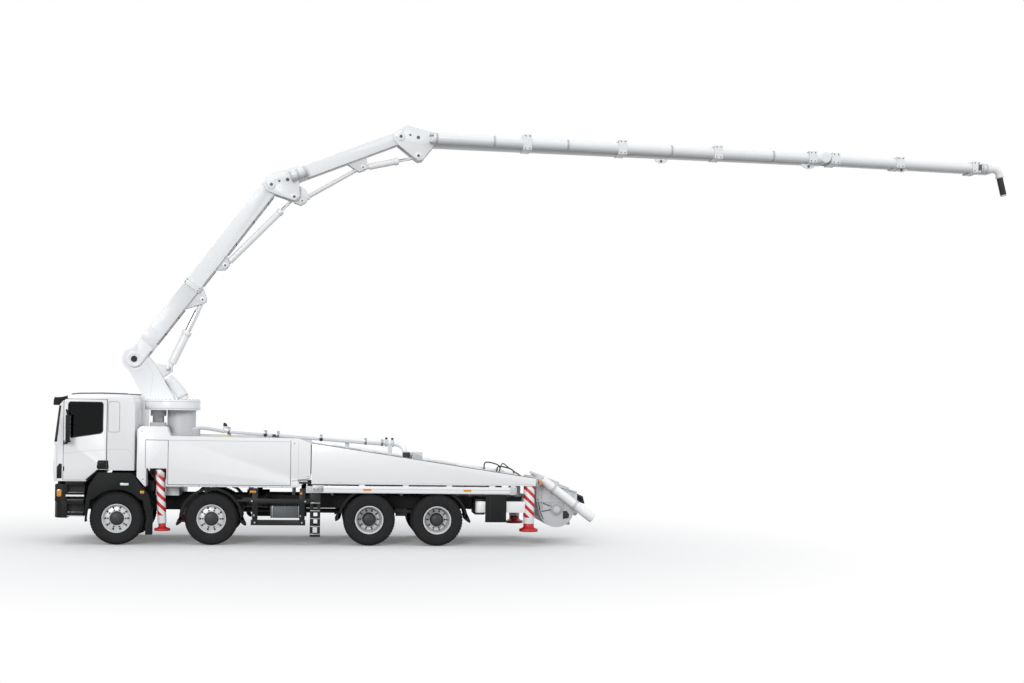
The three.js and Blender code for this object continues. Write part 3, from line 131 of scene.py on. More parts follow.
def surface(name, colour, rough, metallic=0.0, coat=0.0, cloud=FAINT_CLOUD, shade=0.06, shine=0.5):
    """A painted, moulded or metal surface in a hex or a chosen colour. Its tone falls by shade in
    patches as wide as cloud, and its gloss wavers in patches a quarter as wide."""
    material, tree, output = new_tree(name)
    per_metre = 1000 / cloud
    waver = 0.05
    base = srgb(colour) if isinstance(colour, str) else colour
    deep = tuple(c * (1 - shade) for c in base[:3]) + (1.0,)
    tone = add_node(tree, "ShaderNodeMixRGB", {
        "Fac": noise(tree, per_metre, 0.0, 1.0), "Color1": base, "Color2": deep})
    shader = add_node(tree, "ShaderNodeBsdfPrincipled", {
        "Base Color": tone.outputs[0], "Roughness": noise(tree, per_metre * 4, rough - waver, rough + waver),
        "Metallic": metallic, "Specular IOR Level": shine, "Coat Weight": coat, "Coat Roughness": 0.08})
    tree.links.new(shader.outputs["BSDF"], output.inputs["Surface"])
    return material


def chosen(part):
    """The linear colour that the paint settings hold for that part."""
    return (*getattr(bpy.context.scene.pump_paint, part), 1.0)


def striped_enamel():
    """White enamel with sprayed red warning stripes that fall towards the rear, above a plain end."""
    material, tree, output = new_tree("Striped outrigger enamel")

    def math_node(operation, *values):
        return add_node(tree, "ShaderNodeMath", dict(enumerate(values)), operation=operation).outputs[0]
    place = add_node(tree, "ShaderNodeTexCoord").outputs["Object"]
    xyz = add_node(tree, "ShaderNodeSeparateXYZ", {"Vector": place}).outputs
    slanted = math_node("MULTIPLY_ADD", xyz["X"], STRIPE_SLANT, xyz["Z"])
    red = math_node("GREATER_THAN", math_node("FLOORED_MODULO", slanted, STRIPE_PITCH / 1000),
                    STRIPE_GAP / 1000)
    above = math_node("GREATER_THAN", xyz["Z"], STRIPES_FROM / 1000)
    outside = math_node("GREATER_THAN", math_node("ABSOLUTE", xyz["Y"]), STRIPES_OUTSIDE / 1000)
    mask = math_node("MULTIPLY", math_node("MULTIPLY", red, above), outside)
    tone = add_node(tree, "ShaderNodeMixRGB", {
        "Fac": mask, "Color1": srgb("e8e8e8"), "Color2": chosen("stripe")})
    shader = add_node(tree, "ShaderNodeBsdfPrincipled", {"Base Color": tone.outputs[0], "Roughness": 0.4})
    tree.links.new(shader.outputs["BSDF"], output.inputs["Surface"])
    return material


def window_glass():
    """Tinted safety glass: mostly dark, with the sky's reflection growing towards its edges."""
    material, tree, output = new_tree("Tinted window glass")
    clear = add_node(tree, "ShaderNodeBsdfTransparent", {"Color": srgb("586164")})
    gloss = add_node(tree, "ShaderNodeBsdfGlossy", {"Color": srgb("f0f4f6"), "Roughness": 0.03})
    edge = add_node(tree, "ShaderNodeFresnel", {"IOR": 1.3})
    mixed = add_node(tree, "ShaderNodeMixShader", {
        0: edge.outputs[0], 1: clear.outputs[0], 2: gloss.outputs[0]})
    tree.links.new(mixed.outputs[0], output.inputs["Surface"])
    return material


# Each entry makes the material of that name the first time that a piece asks for it.
RECIPES = {
    # Sprayed and lacquered sheet steel: a clean, faintly cool white with a soft gloss.
    "white": lambda: surface("White body enamel", chosen("body"), 0.36, coat=0.12, shade=0.015),
    # Sprayed plate, a shade greyer and duller than the body.
    "boom": lambda: surface("White boom enamel", chosen("boom"), 0.4, coat=0.1, shade=0.02),
    # Brushed-on undercoat of frames and fittings: flat and plainly darker than the body beside it.
    # The light and the dark grey are also painted shade: on the column and round its foot, along the cab's
    # side crease, round its rear-corner recess, and at the hopper tubes' open ends.
    "under": lambda: surface("Light grey primer and painted shade", "c9cacc", 0.45),
    "grey": lambda: surface("Grey machine enamel", "aeb0b1", 0.45),
    "dark_grey": lambda: surface("Dark grey enamel and painted shade", "55585a", 0.5),
    # Wax-coated frame paint and moulded plastics: nearly black, with hardly any highlight.
    "chassis": lambda: surface("Black chassis paint", "19191a", 0.5, shine=0.3),
    "plastic": lambda: surface("Grained black plastic", "19191a", 0.6, cloud=PLASTIC_CLOUD, shine=0.2),
    "guard": lambda: surface("Dark grey mudguard plastic", "1c1d1d", 0.6, cloud=PLASTIC_CLOUD, shine=0.15),
    # Extruded rubber: the black lines round panes, doors and panels; also painted shade in hand holes, grille
    # openings, a slot and a pocket.
    "seal": lambda: surface("Black rubber and painted shade", "121213", 0.6),
    # Dipped and baked: the one strong colour of the vehicle, glossier than the white.
    "red": lambda: surface("Red enamel", chosen("foot"), 0.4, coat=0.2),
    "stripes": striped_enamel,
    # Moulded rubber with road dust in it: matt, and uneven in tone.
    "tyre": lambda: surface("Tyre rubber", "2a2a2b", 0.82, cloud=RUBBER_CLOUD, shade=0.2, shine=0.15),
    # Silver lacquer over pressed steel: pale, with metal flakes that darken where it turns away.
    "rim": lambda: surface("Silver wheel lacquer", "d0d1d2", 0.34, metallic=0.25),
    # Rough castings under thin paint: dark with a dull metal sheen.
    "hub": lambda: surface("Dark hub casting", "303133", 0.5, metallic=0.3),
    "iron": lambda: surface("Cast iron", "3a3a3b", 0.65, metallic=0.3),
    # Zinc-dipped steel: mid grey and half bright.
    "steel": lambda: surface("Galvanised steel", "a3a6a8", 0.4, metallic=0.8),
    # Ground and plated: mirrors what is round it in a thin bright line.
    "chrome": lambda: surface("Chromed rod steel", "d4d6d8", 0.12, metallic=1.0),
    "hose": lambda: surface("Black hose rubber", "1f1f20", 0.7),
    # Woven and padded, seen only in shade behind the glass.
    "trim": lambda: surface("Cab trim fabric", "3f4144", 0.85),
    # Moulded lamp lenses: bright, smooth and lacquered.
    "lens": lambda: surface("Clear lamp lens", "d9dde0", 0.08, coat=0.6),
    "amber": lambda: surface("Amber lamp lens", "d98a1a", 0.2, coat=0.5),
    "tail": lambda: surface("Red lamp lens", "8e1214", 0.2, coat=0.5),
    "sand": lambda: surface("Pale yellow walkway paint", "e4d28c", 0.6),
    "mirror": lambda: surface("Silvered mirror glass", "c4ccd0", 0.03, metallic=1.0),
    "glass": window_glass,
}
SLOT_PAINT = {
    "white_paint": "white", "boom_paint": "boom", "leg_paint": "stripes", "red_paint": "red",
    "grey_paint": "under", "black_paint": "chassis", "cast_iron": "iron", "tyre_rubber": "tyre",
    "black_plastic": "guard", "cab_trim": "trim", "windscreen_glass": "glass", "hose_rubber": "hose",
    "cylinder_paint": "white", "chrome_rod": "chrome",
}
made = {}


def paint(name):
    """The material of that name in RECIPES."""
    if name not in made:
        made[name] = RECIPES[name]()
    return made[name]


def applied(obj):
    """Replaces obj's mesh by the result of its modifiers."""
    depsgraph = bpy.context.evaluated_depsgraph_get()
    mesh = bpy.data.meshes.new_from_object(obj.evaluated_get(depsgraph))
    obj.modifiers.clear()
    obj.data = mesh
    return obj


def dressed(name, mesh, body, bevel=0.0):
    """Makes an object of the mesh, rounds its edges, smooths it and lets it ride on a body."""
    obj = bpy.data.objects.new(name, mesh)
    bpy.context.scene.collection.objects.link(obj)
    if bevel:
        edge = obj.modifiers.new("Rounded edges", "BEVEL")
        edge.width = bevel / 1000
        edge.segments = 2
        edge.limit_method = "ANGLE"
        edge.angle_limit = math.radians(SHARP_EDGE)
        applied(obj)
    obj.data.shade_smooth()
    obj.data.set_sharp_from_angle(angle=math.radians(SHARP_EDGE))
    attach(obj, body)
    return obj


def turns(sides):
    """Cosine and sine of evenly spaced directions round a circle."""
    return [(math.cos(t), math.sin(t)) for t in (math.tau * i / sides for i in range(sides))]


class Shape:
    """Collects plain solids into one mesh. frame turns the given millimetres into the row frame."""

    def __init__(self, frame=VEHICLE):
        self.mesh = bmesh.new()
        self.frame = frame
        self.paints = []

    def add(self, points, faces, material):
        """Adds faces, given as indices into points, in a material."""
        if material not in self.paints:
            self.paints.append(material)
        vertices = [self.mesh.verts.new(self.frame @ Vector(p)) for p in points]
        for face in faces:
            made_face = self.mesh.faces.new([vertices[i] for i in face])
            made_face.material_index = self.paints.index(material)

    def loops(self, rings, material, closed=False):
        """Skins rings of equally many points; ends are capped unless the chain is closed."""
        count = len(rings[0])
        points = [p for ring in rings for p in ring]
        faces = []
        spans = len(rings) if closed else len(rings) - 1
        for k in range(spans):
            a, b = k * count, (k + 1) % len(rings) * count
            faces += [(a + i, a + (i + 1) % count, b + (i + 1) % count, b + i) for i in range(count)]
        if not closed:
            faces += [tuple(range(count)), tuple(range(len(points) - count, len(points)))]
        self.add(points, faces, material)

    def prism(self, outline, y0, y1, material):
        """A side view outline of (x, z) points, carried across from y0 to y1."""
        self.loops([[(x, y, z) for x, z in outline] for y in (y0, y1)], material)

    def box(self, x0, x1, y0, y1, z0, z1, material):
        """A block between two limits along each axis."""
        self.prism([(x0, z0), (x1, z0), (x1, z1), (x0, z1)], y0, y1, material)

    def bar(self, a, b, radius, material, sides=24, end_radius=None):
        """A round bar from a to b, or a cone with an end_radius."""
        self.tube([a, b], radius, material, sides, end_radius)

    def tube(self, points, radius, material, sides=16, end_radius=None):
        """A round tube along the points, turned without twist."""
        path = [Vector(p) for p in points]
        across = None
        rings = []
        for k, p in enumerate(path):
            along = (path[min(k + 1, len(path) - 1)] - path[max(k - 1, 0)]).normalized()
            if across is None:
                across = along.orthogonal().normalized()
            across = (across - along * across.dot(along)).normalized()
            other = along.cross(across)
            share = k / (len(path) - 1)
            r = radius if end_radius is None else radius + (end_radius - radius) * share
            rings.append([p + (across * c + other * d) * r for c, d in turns(sides)])
        self.loops(rings, material)

    def turned(self, profile, x, z, material, sides=64):
        """A closed profile of (radius, y) points turned about the Y axis through (x, z)."""
        rings = [[(x + r * c, y, z + r * d) for r, y in profile] for c, d in turns(sides)]
        self.loops(rings, material, closed=True)

    def upright(self, profile, x, y, material, sides=64):
        """A closed profile of (radius, z) points turned about a vertical axis through (x, y)."""
        rings = [[(x + r * c, y + r * d, z) for r, z in profile] for c, d in turns(sides)]
        self.loops(rings, material, closed=True)

    def turned_along(self, u0, u1, inner, outer, material, sides=40):
        """A hollow round tube along X."""
        wall = ((inner, u0), (outer, u0), (outer, u1), (inner, u1))
        rings = [[(u, r * c, r * d) for r, u in wall] for c, d in turns(sides)]
        self.loops(rings, material, closed=True)

    def seam(self, points, side, y=HALF_WIDTH, width=9, material="seal"):
        """A dark line along (x, z) points on a side face at y: a joint between panels, or painted shade in a
        crease or recess.
        """
        for (x0, z0), (x1, z1) in zip(points, points[1:]):
            length = math.hypot(x1 - x0, z1 - z0)
            ex, ez = (x1 - x0) / length * width / 2, (z1 - z0) / length * width / 2
            self.prism([(x0 - ex - ez, z0 - ez + ex), (x1 + ex - ez, z1 + ez + ex),
                        (x1 + ex + ez, z1 + ez - ex), (x0 - ex + ez, z0 - ez - ex)],
                       side * (y - 4), side * (y + 1.5), material)

    def knob(self, x, z, side, y=HALF_WIDTH, radius=14, height=8, material="steel"):
        """A round bolt head on a side face."""
        self.bar((x, side * (y - 3), z), (x, side * (y + height), z), radius, material, 12)

    def finish(self, name, body, bevel=0.0, replaces=()):
        """Turns what was collected into one object that rides on a CAD body."""
        bmesh.ops.remove_doubles(self.mesh, verts=self.mesh.verts, dist=1e-6)
        bmesh.ops.recalc_face_normals(self.mesh, faces=self.mesh.faces)
        mesh = bpy.data.meshes.new(name)
        self.mesh.to_mesh(mesh)
        self.mesh.free()
        for material in self.paints:
            mesh.materials.append(paint(material))
        obj = dressed(name, mesh, body, bevel)
        if replaces:
            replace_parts(obj, *replaces)
        return obj


def softened(node, bevel, base, zones=()):
    """A copy of a CAD node with rounded edges that stands for it. zones are (material, test) pairs:
    a face takes the first material whose test of its centre, in millimetres, is true."""
    source = CAD["nodes"][node]
    work = bmesh.new()
    work.from_mesh(source.data)
    bmesh.ops.remove_doubles(work, verts=work.verts, dist=2e-5)
    bmesh.ops.dissolve_limit(work, angle_limit=math.radians(0.6), verts=work.verts, edges=work.edges)
    paints = [base] + [name for name, _ in zones]
    for face in work.faces:
        x, y, z = face.calc_center_median() * 1000
        hits = [k for k, (_, test) in enumerate(zones) if test(x - FIRST_AXLE, y, z)]
        face.material_index = hits[0] + 1 if hits else 0
    mesh = bpy.data.meshes.new(node + "_look")
    work.to_mesh(mesh)
    work.free()
    for name in paints:
        mesh.materials.append(paint(name))
    body = next(b for b, nodes in CAD["record"]["behaviour"]["bodies"].items() if node in nodes)
    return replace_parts(dressed(node + "_look", mesh, body, bevel), node)


def rounded(x0, x1, z0, z1, r, steps=4):
    """Outline of a rectangle with rounded corners."""
    corners = ((x1 - r, z1 - r, 0), (x0 + r, z1 - r, 90), (x0 + r, z0 + r, 180), (x1 - r, z0 + r, 270))
    return [(cx + r * math.cos(a), cz + r * math.sin(a)) for cx, cz, start in corners
            for a in (math.radians(start + 90 * k / steps) for k in range(steps + 1))]


def arm_frame(index):
    """Frame of an arm: u along it from its root pivot, y across, w square to it and upwards."""
    x, z = PIVOT_1
    for k in range(index):
        x += ARM_LENGTH[k] * math.cos(math.radians(ARM_ANGLE[k]))
        z += ARM_LENGTH[k] * math.sin(math.radians(ARM_ANGLE[k]))
    tilt = Matrix.Rotation(-math.radians(ARM_ANGLE[index]), 4, "Y")
    return VEHICLE @ Matrix.Translation((x, 0, z)) @ tilt


def smooth_path(points, steps=8):
    """Points of a Catmull-Rom curve through the given ones."""
    p = [Vector(points[0])] + [Vector(q) for q in points] + [Vector(points[-1])]
    path = []
    for k in range(1, len(p) - 2):
        a, b, c, d = p[k - 1:k + 3]
        for i in range(steps):
            t = i / steps
            path.append(0.5 * (2 * b + (c - a) * t + (2 * a - 5 * b + 4 * c - d) * t * t
                               + (3 * b - a - 3 * c + d) * t * t * t))
    return path + [p[-1]]


# ------------------------------------------------------------------ repeated parts, by Geometry Nodes

def group_socket(tree, name, kind, default):
    """A named input of a node group."""
    socket = tree.interface.new_socket(name, in_out="INPUT", socket_type=kind)
    if default is not None:
        socket.default_value = default
    return socket


def copies_tree(name, ring):
    """Geometry Nodes that repeat a piece: on a ring about the Y axis, or along a straight line."""
    tree = bpy.data.node_groups.get(name)
    if tree:
        return tree
    tree = bpy.data.node_groups.new(name, "GeometryNodeTree")
    group_socket(tree, "Piece", "NodeSocketGeometry", None)
    group_socket(tree, "Count", "NodeSocketInt", 10)
    group_socket(tree, "Centre" if ring else "Start", "NodeSocketVector", (0.0, 0.0, 0.0))
    if ring:
        group_socket(tree, "Radius", "NodeSocketFloat", 0.1)
    else:
        group_socket(tree, "Step", "NodeSocketVector", (0.1, 0.0, 0.0))
    group_socket(tree, "Material", "NodeSocketMaterial", None)
    tree.interface.new_socket("Geometry", in_out="OUTPUT", socket_type="NodeSocketGeometry")
    given = add_node(tree, "NodeGroupInput").outputs
    if ring:
        index = add_node(tree, "GeometryNodeInputIndex").outputs["Index"]
        turn = add_node(tree, "ShaderNodeMath", {0: math.tau, 1: given["Count"]}, operation="DIVIDE")
        angle = add_node(tree, "ShaderNodeMath", {0: index, 1: turn.outputs[0]}, operation="MULTIPLY")
        spin = add_node(tree, "ShaderNodeCombineXYZ", {"Y": angle.outputs[0]}).outputs[0]
        cosine = add_node(tree, "ShaderNodeMath", {0: angle.outputs[0]}, operation="COSINE").outputs[0]
        sine = add_node(tree, "ShaderNodeMath", {0: angle.outputs[0]}, operation="SINE").outputs[0]
        down = add_node(tree, "ShaderNodeMath", {0: sine, 1: -1.0}, operation="MULTIPLY").outputs[0]
        way = add_node(tree, "ShaderNodeCombineXYZ", {"X": cosine, "Z": down}).outputs[0]
        arm = add_node(tree, "ShaderNodeVectorMath", {0: way, "Scale": given["Radius"]}, operation="SCALE")
        place = add_node(tree, "ShaderNodeVectorMath", {
            0: arm.outputs[0], 1: given["Centre"]}, operation="ADD")
        points = add_node(tree, "GeometryNodePoints", {
            "Count": given["Count"], "Position": place.outputs[0]}).outputs[0]
        copies = add_node(tree, "GeometryNodeInstanceOnPoints", {
            "Points": points, "Instance": given["Piece"], "Rotation": spin})
    else:
        line = add_node(tree, "GeometryNodeMeshLine", {
            "Count": given["Count"], "Start Location": given["Start"], "Offset": given["Step"]})
        copies = add_node(tree, "GeometryNodeInstanceOnPoints", {
            "Points": line.outputs[0], "Instance": given["Piece"]})
    real = add_node(tree, "GeometryNodeRealizeInstances", {0: copies.outputs[0]})
    painted = add_node(tree, "GeometryNodeSetMaterial", {
        0: real.outputs[0], "Material": given["Material"]})
    add_node(tree, "NodeGroupOutput", {0: painted.outputs[0]})
    return tree


def repeated(name, piece, material, body, count, place, spread, ring=True, stand=None):
    """Repeats piece (a Shape built about the origin) count times and lets the result ride on body.
    place and spread are the ring's centre and radius, or the line's first point and step, in mm.
    stand puts a ring about the vertical through that point instead."""
    mesh = bpy.data.meshes.new(name)
    bmesh.ops.recalc_face_normals(piece.mesh, faces=piece.mesh.faces)
    piece.mesh.to_mesh(mesh)
    piece.mesh.free()
    obj = bpy.data.objects.new(name, mesh)
    bpy.context.scene.collection.objects.link(obj)
    tree = copies_tree("Copies on a ring" if ring else "Copies in a line", ring)
    modifier = obj.modifiers.new("Copies", "NODES")
    modifier.node_group = tree
    ids = {s.name: s.identifier for s in tree.interface.items_tree if s.in_out == "INPUT"}
    modifier[ids["Count"]] = count
    modifier[ids["Centre" if ring else "Start"]] = (0, 0, 0) if stand else tuple(VEHICLE @ Vector(place))
    modifier[ids["Radius" if ring else "Step"]] = (
        spread / 1000 if ring else tuple(Vector(spread) / 1000))
    modifier[ids["Material"]] = paint(material)
    applied(obj)
    if stand:
        obj.data.transform(Matrix.Translation(VEHICLE @ Vector(stand)) @ Matrix.Rotation(math.pi / 2, 4, "X"))
    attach(obj, body)
    return obj


def loose(build):
    """A Shape about the origin, in millimetres, for repeated() to copy."""
    shape = Shape(Matrix.Scale(0.001, 4))
    build(shape)
    return shape


def hex_head(side, radius=14, height=12):
    """A nut or bolt head whose axis is Y, standing out on the given side."""
    return loose(lambda s: s.bar((0, 0, 0), (0, side * height, 0), radius, "steel", 6))


# ------------------------------------------------------------------ wheels

# Turned outlines of (radius, distance from the middle of the vehicle) points.
FRONT_RIM = ((256, 905), (290, 900), (290, 915), (262, 930), (256, 1120), (276, 1160), (291, 1166),
             (291, 1176), (277, 1176), (262, 1162), (247, 1132), (236, 1118), (205, 1132), (150, 1136),
             (140, 1130), (140, 1090), (246, 1090))
FRONT_HUB = ((0, 1100), (140, 1100), (138, 1140), (126, 1146), (118, 1176), (104, 1184), (0, 1186))
TWIN_RIM = ((262, 620), (288, 618), (262, 640), (256, 960), (262, 1195), (276, 1216), (290, 1222),
            (290, 1234), (274, 1234), (262, 1224), (246, 1190), (238, 1030), (214, 985), (150, 975),
            (135, 975), (135, 950), (246, 950))
TWIN_HUB = ((0, 960), (140, 960), (138, 1085), (124, 1100), (116, 1136), (98, 1148), (0, 1150))
# half is half a tyre's width; nut is a nut's radius and height, and hole is a hole's radius. nuts and
# holes give the distance of their ring from the middle of the vehicle and its radius.
WHEELS = {
    "front": {"tyres": FRONT_TYRES, "half": 148, "rim": FRONT_RIM, "hub": FRONT_HUB,
              "nut": (17, 22), "nuts": (1134, 176), "hole": 20, "holes": (1125, 221)},
    "twin": {"tyres": TWIN_TYRES, "half": 143, "rim": TWIN_RIM, "hub": TWIN_HUB,
             "nut": (18, 34), "nuts": (974, 178), "hole": 17, "holes": (992, 216)},
}


def tyre(half):
    """Outline of a tyre with rounded shoulders and beads, about its own middle."""
    outer = [(282, -half + 26), (300, -half + 12), (380, -half), (452, -half + 2), (496, -half + 16),
             (520, -half + 44), (522, -half + 60)]
    return outer + [(r, -y) for r, y in reversed(outer)]


def tread(name, body, x, middle, half, side, lugs):
    """Four rows of staggered tread blocks; the outer two sit lower, on the tyre's shoulders."""
    wide = half * 0.17
    for row, (offset, extra, sink) in enumerate(((-0.66, 0, 6), (-0.22, 1, 1), (0.22, 1, 1), (0.66, 0, 6))):
        block = loose(lambda s: s.box(-14, 0, -wide, wide, -20, 20, "tyre"))
        place = (x, side * (middle + offset * half), TYRE_RADIUS)
        repeated(f"{name}_tread_{row}", block, "tyre", body,
                 lugs + extra, place, TYRE_RADIUS - sink)


def wheel(row, name, side, settings):
    """A steered wheel, or a pair of twin wheels on one hub, with nuts, hand holes and tread. The hand holes
    are black discs of painted shade.
    """
    x, body = AXLES[row], f"wheel_{row + 1}_{name}"
    kind = WHEELS["front" if row < 2 else "twin"]
    shape = Shape()
    for middle in kind["tyres"]:
        outline = [(r, side * (middle + y)) for r, y in tyre(kind["half"])]
        shape.turned(outline, x, TYRE_RADIUS, "tyre", 72)
    for part, sides in (("rim", 72), ("hub", 48)):
        shape.turned([(r, side * y) for r, y in kind[part]], x, TYRE_RADIUS, part, sides)
    shape.finish(body + "_look", body, replaces=(body,))
    # Each hand hole is a black disc on the rim: painted shade in the hole.
    hole = loose(lambda s: s.bar((0, -6 * side, 0), (0, 8 * side, 0), kind["hole"], "seal", 12))
    for piece, part, material in ((hole, "holes", "seal"), (hex_head(side, *kind["nut"]), "nuts", "hub")):
        y, radius = kind[part]
        repeated(f"{body}_{part}", piece, material, body, settings.nuts,
                 (x, side * y, TYRE_RADIUS), radius)
    for middle in kind["tyres"]:
        label = body if len(kind["tyres"]) == 1 else f"{body}_{middle}"
        tread(label, body, x, middle, kind["half"], side, settings.lugs)


# ------------------------------------------------------------------ cab

def screen_x(z):
    """Front of the windscreen pillars at height z."""
    return -1234 + (z - 2045) * 86 / 755


def cab(slats):
    """Shell, windscreen, visor, seams, wipers and the front panel with its grille."""
    softened("cab_shell", 14, "white", (
        ("plastic", lambda x, y, z: x < -1112 and z > 2790),
        ("trim", lambda x, y, z: abs(y) < 1117 and -1125 < x < 275 and 1335 < z < 2980)))
    softened("windscreen", 2, "glass")
    shape = Shape()
    for _, s in SIDES:
        # End cap of the visor, roof rail, and lines of painted shade in the crease along the side and round
        # the recess of the rear corner.
        visor = [(-1262, 2800), (-1150, 2795), (-1060, 2905), (-985, 2930), (-985, 2990), (-1090, 2962),
                 (-1200, 2952), (-1256, 2915)]
        shape.prism(visor, s * 1120, s * 1179, "plastic")
        shape.prism([(-925, 3012), (-760, 3020), (-300, 3034), (165, 3026), (165, 3056), (-300, 3064),
                     (-780, 3052), (-925, 3032)], s * 1040, s * 1120, "dark_grey")
        shape.seam([(-1040, 1830), (-640, 1880), (-212, 1917), (140, 1929), (260, 1880), (318, 1700)],
                   s, CAB_HALF, 6, "under")
        shape.seam(rounded(-190, 30, 2270, 2880, 45) + [(30, 2835)], s, CAB_HALF, 7, "dark_grey")
        # Cover behind the door, and the seams round the door.
        shape.prism([(-216, 1510), (-216, 1700), (-180, 1700), (-168, 1560), (-180, 1510)],
                    s * 1160, s * 1177, "plastic")
        shape.seam([(DOOR_REAR, 1500), (DOOR_REAR, DOOR_TOP)], s, CAB_HALF, 10)
        shape.seam([(DOOR_FRONT, 1300), (DOOR_FRONT, DOOR_TOP)], s, CAB_HALF, 10)
        shape.seam([(DOOR_FRONT, DOOR_TOP), (DOOR_REAR, DOOR_TOP)], s, CAB_HALF, 8)
        # Corner plate ahead of the door, black pillar and the edge of the screen.
        shape.prism([(-1176, 1330), (-1080, 1330), (-1080, 1620), (-1130, 1630), (-1176, 1560)],
                    s * 1160, s * 1178, "plastic")
        shape.prism([(screen_x(2062), 2062), (screen_x(2790), 2790), (screen_x(2790) + 42, 2790),
                     (screen_x(2062) + 52, 2062)], s * 1150, s * 1177.5, "seal")
        frit = [(screen_x(z) + d, z) for z, d in ((2062, -2), (2790, -2), (2790, 12), (2062, 12))]
        shape.prism(frit, s * 1062, s * 1084, "seal")
        # Marker lamp on the roof.
        shape.bar((-880, s * 980, 3020), (-880, s * 980, 3044), 34, "amber", 16)
    # Lower edge of the screen, then the wipers.
    shape.prism([(screen_x(2045) - 3, 2046), (screen_x(2080) - 3, 2080), (screen_x(2080) + 12, 2080),
                 (screen_x(2045) + 12, 2046)], -1084, 1084, "seal")
    proud = 9                     # of a wiper, ahead of the glass
    for y in (-980, -330, 320):
        pivot = (screen_x(2062) - proud, y, 2062)
        elbow = (screen_x(2330) - proud, y + 560, 2330)
        shape.bar(pivot, elbow, 8, "seal", 8)
        shape.bar((screen_x(2180) - proud, y + 170, 2170), (screen_x(2560) - proud, y + 640, 2560),
                  9, "seal", 8)
    shape.finish("cab_details", "chassis", 2)

    # Bulging front panel, and black sheets of painted shade in the openings that the grille's slats cross.
    front = Shape()
    front.prism([(-1224, 1276), (-1180.4, 1276), (-1180.4, 1978), (-1231, 2028), (-1238, 1700), (-1254, 1640),
                 (-1254, 1440)], -1174, 1174, "white")
    front.finish("front_panel_look", "chassis", 16, replaces=("front_panel",))
    grille = Shape()
    grille.prism([(-1257, 1440), (-1245, 1440), (-1245, 1630), (-1257, 1630)], -860, 860, "seal")
    grille.prism([(-1243, 1310), (-1225, 1300), (-1230, 1400), (-1252, 1410)], -860, 860, "seal")
    grille.prism([(-1239, 1930), (-1228, 1930), (-1228, 2005), (-1237, 2005)], -1080, 1080, "plastic")
    grille.finish("grille", "chassis", 2)
    slat = loose(lambda q: q.box(-4, 4, -850, 850, -8, 8, "plastic"))
    grille_height = 160
    repeated("grille_slats", slat, "plastic", "chassis", slats,
             (-1258, 0, 1455), (0, 0, grille_height / (slats - 1)), ring=False)


def doors():
    """Doors with their glass, window rubber, handles, hinges and mirror glass."""
    for name, s in SIDES:
        node = f"door_{name}"         # the door's node and its body
        softened(node, 7, "white", (
            ("plastic", lambda x, y, z: abs(y) > 1190),
            ("seal", lambda x, y, z: 1636 < z < 1668 and abs(y) > 1176),
            ("trim", lambda x, y, z: abs(y) < 1117)))
        pane = Shape()
        pane.prism([(-978, 2140), (-296, 2250), (-296, 2864), (-968, 2864)], s * 1140, s * 1147, "glass")
        pane.finish(f"{node}_glass", node)
        trim = Shape()
        # Window rubber, the grip's recess, the handle, two hinges and two mirrors.
        corner = [(-978, 2168), (-950, 2143), (-330, 2243), (-296, 2280), (-296, 2830), (-326, 2864),
                  (-930, 2864), (-968, 2820), (-978, 2168)]
        trim.tube([(x, s * 1168, z) for x, z in corner], 13, "seal", 8)
        trim.prism([(-405, 1560), (-380, 1700), (-224, 1700), (-224, 1520), (-380, 1520)],
                   s * 1160, s * 1178, "plastic")
        trim.box(-385, -240, s * 1172, s * 1186, 1640, 1664, "seal")
        for z in (1480, 2000):
            trim.box(-1052, -1034, s * 1160, s * 1180, z, z + 90, "plastic")
        for low, high in ((2090, 2400), (2430, 2570)):
            trim.box(-900.5, -897, s * 1250, s * 1366, low, high, "mirror")
        trim.finish(f"{node}_trim", node, 2)


def lower_front():
    """Bumper, lamps, boarding steps and front mudguards."""
    softened("bumper", 10, "plastic", (("seal", lambda x, y, z: abs(y) < 1219 and x > -1000),))
    softened("cab_mudguards", 10, "guard")
    shape = Shape()
    for _, s in SIDES:
        # Headlamp glass with its main lamp and indicator.
        shape.box(-1199, -1190, s * 850, s * 1190, 930, 1190, "lens")
        shape.bar((-1203, s * 960, 1060), (-1190, s * 960, 1060), 92, "steel", 32)
        shape.bar((-1203, s * 1095, 1090), (-1190, s * 1095, 1090), 60, "amber", 24)
        # Corner indicator, step lamp, lower tread and three step plates.
        shape.prism(rounded(-1160, -1070, 970, 1117, 26), s * 1226, s * 1237, "amber")
        shape.prism(rounded(-1012, -632, 972, 1007, 8), s * 1212, s * 1225, "white")
        shape.box(-1000, -640, s * 1150, s * 1223, 572, 590, "under")
        for z in (656, 901, 1051):
            shape.box(-955, -645, s * 1095, s * 1216, z, z + 5, "steel")
        # Lamps behind the cab door, fog lamp and the towing eye's pocket, black as painted shade.
        shape.prism(rounded(70, 236, 1204, 1252, 12), s * 1246, s * 1253, "lens")
        shape.prism(rounded(461, 543, 1044, 1100, 12), s * 1246, s * 1253, "amber")
        shape.bar((-1247, s * 820, 700), (-1215, s * 820, 700), 62, "lens", 28)
        shape.box(-1217, -1200, s * 560, s * 640, 620, 700, "seal")
    # Blank number plate and the slot above it, black as painted shade.
    shape.box(-1254, -1246, -262, 262, 640, 756, "white")
    shape.box(-1247, -1238, -640, 640, 800, 850, "seal")
    shape.finish("front_lamps", "chassis", 2)


# ------------------------------------------------------------------ bodywork behind the cab

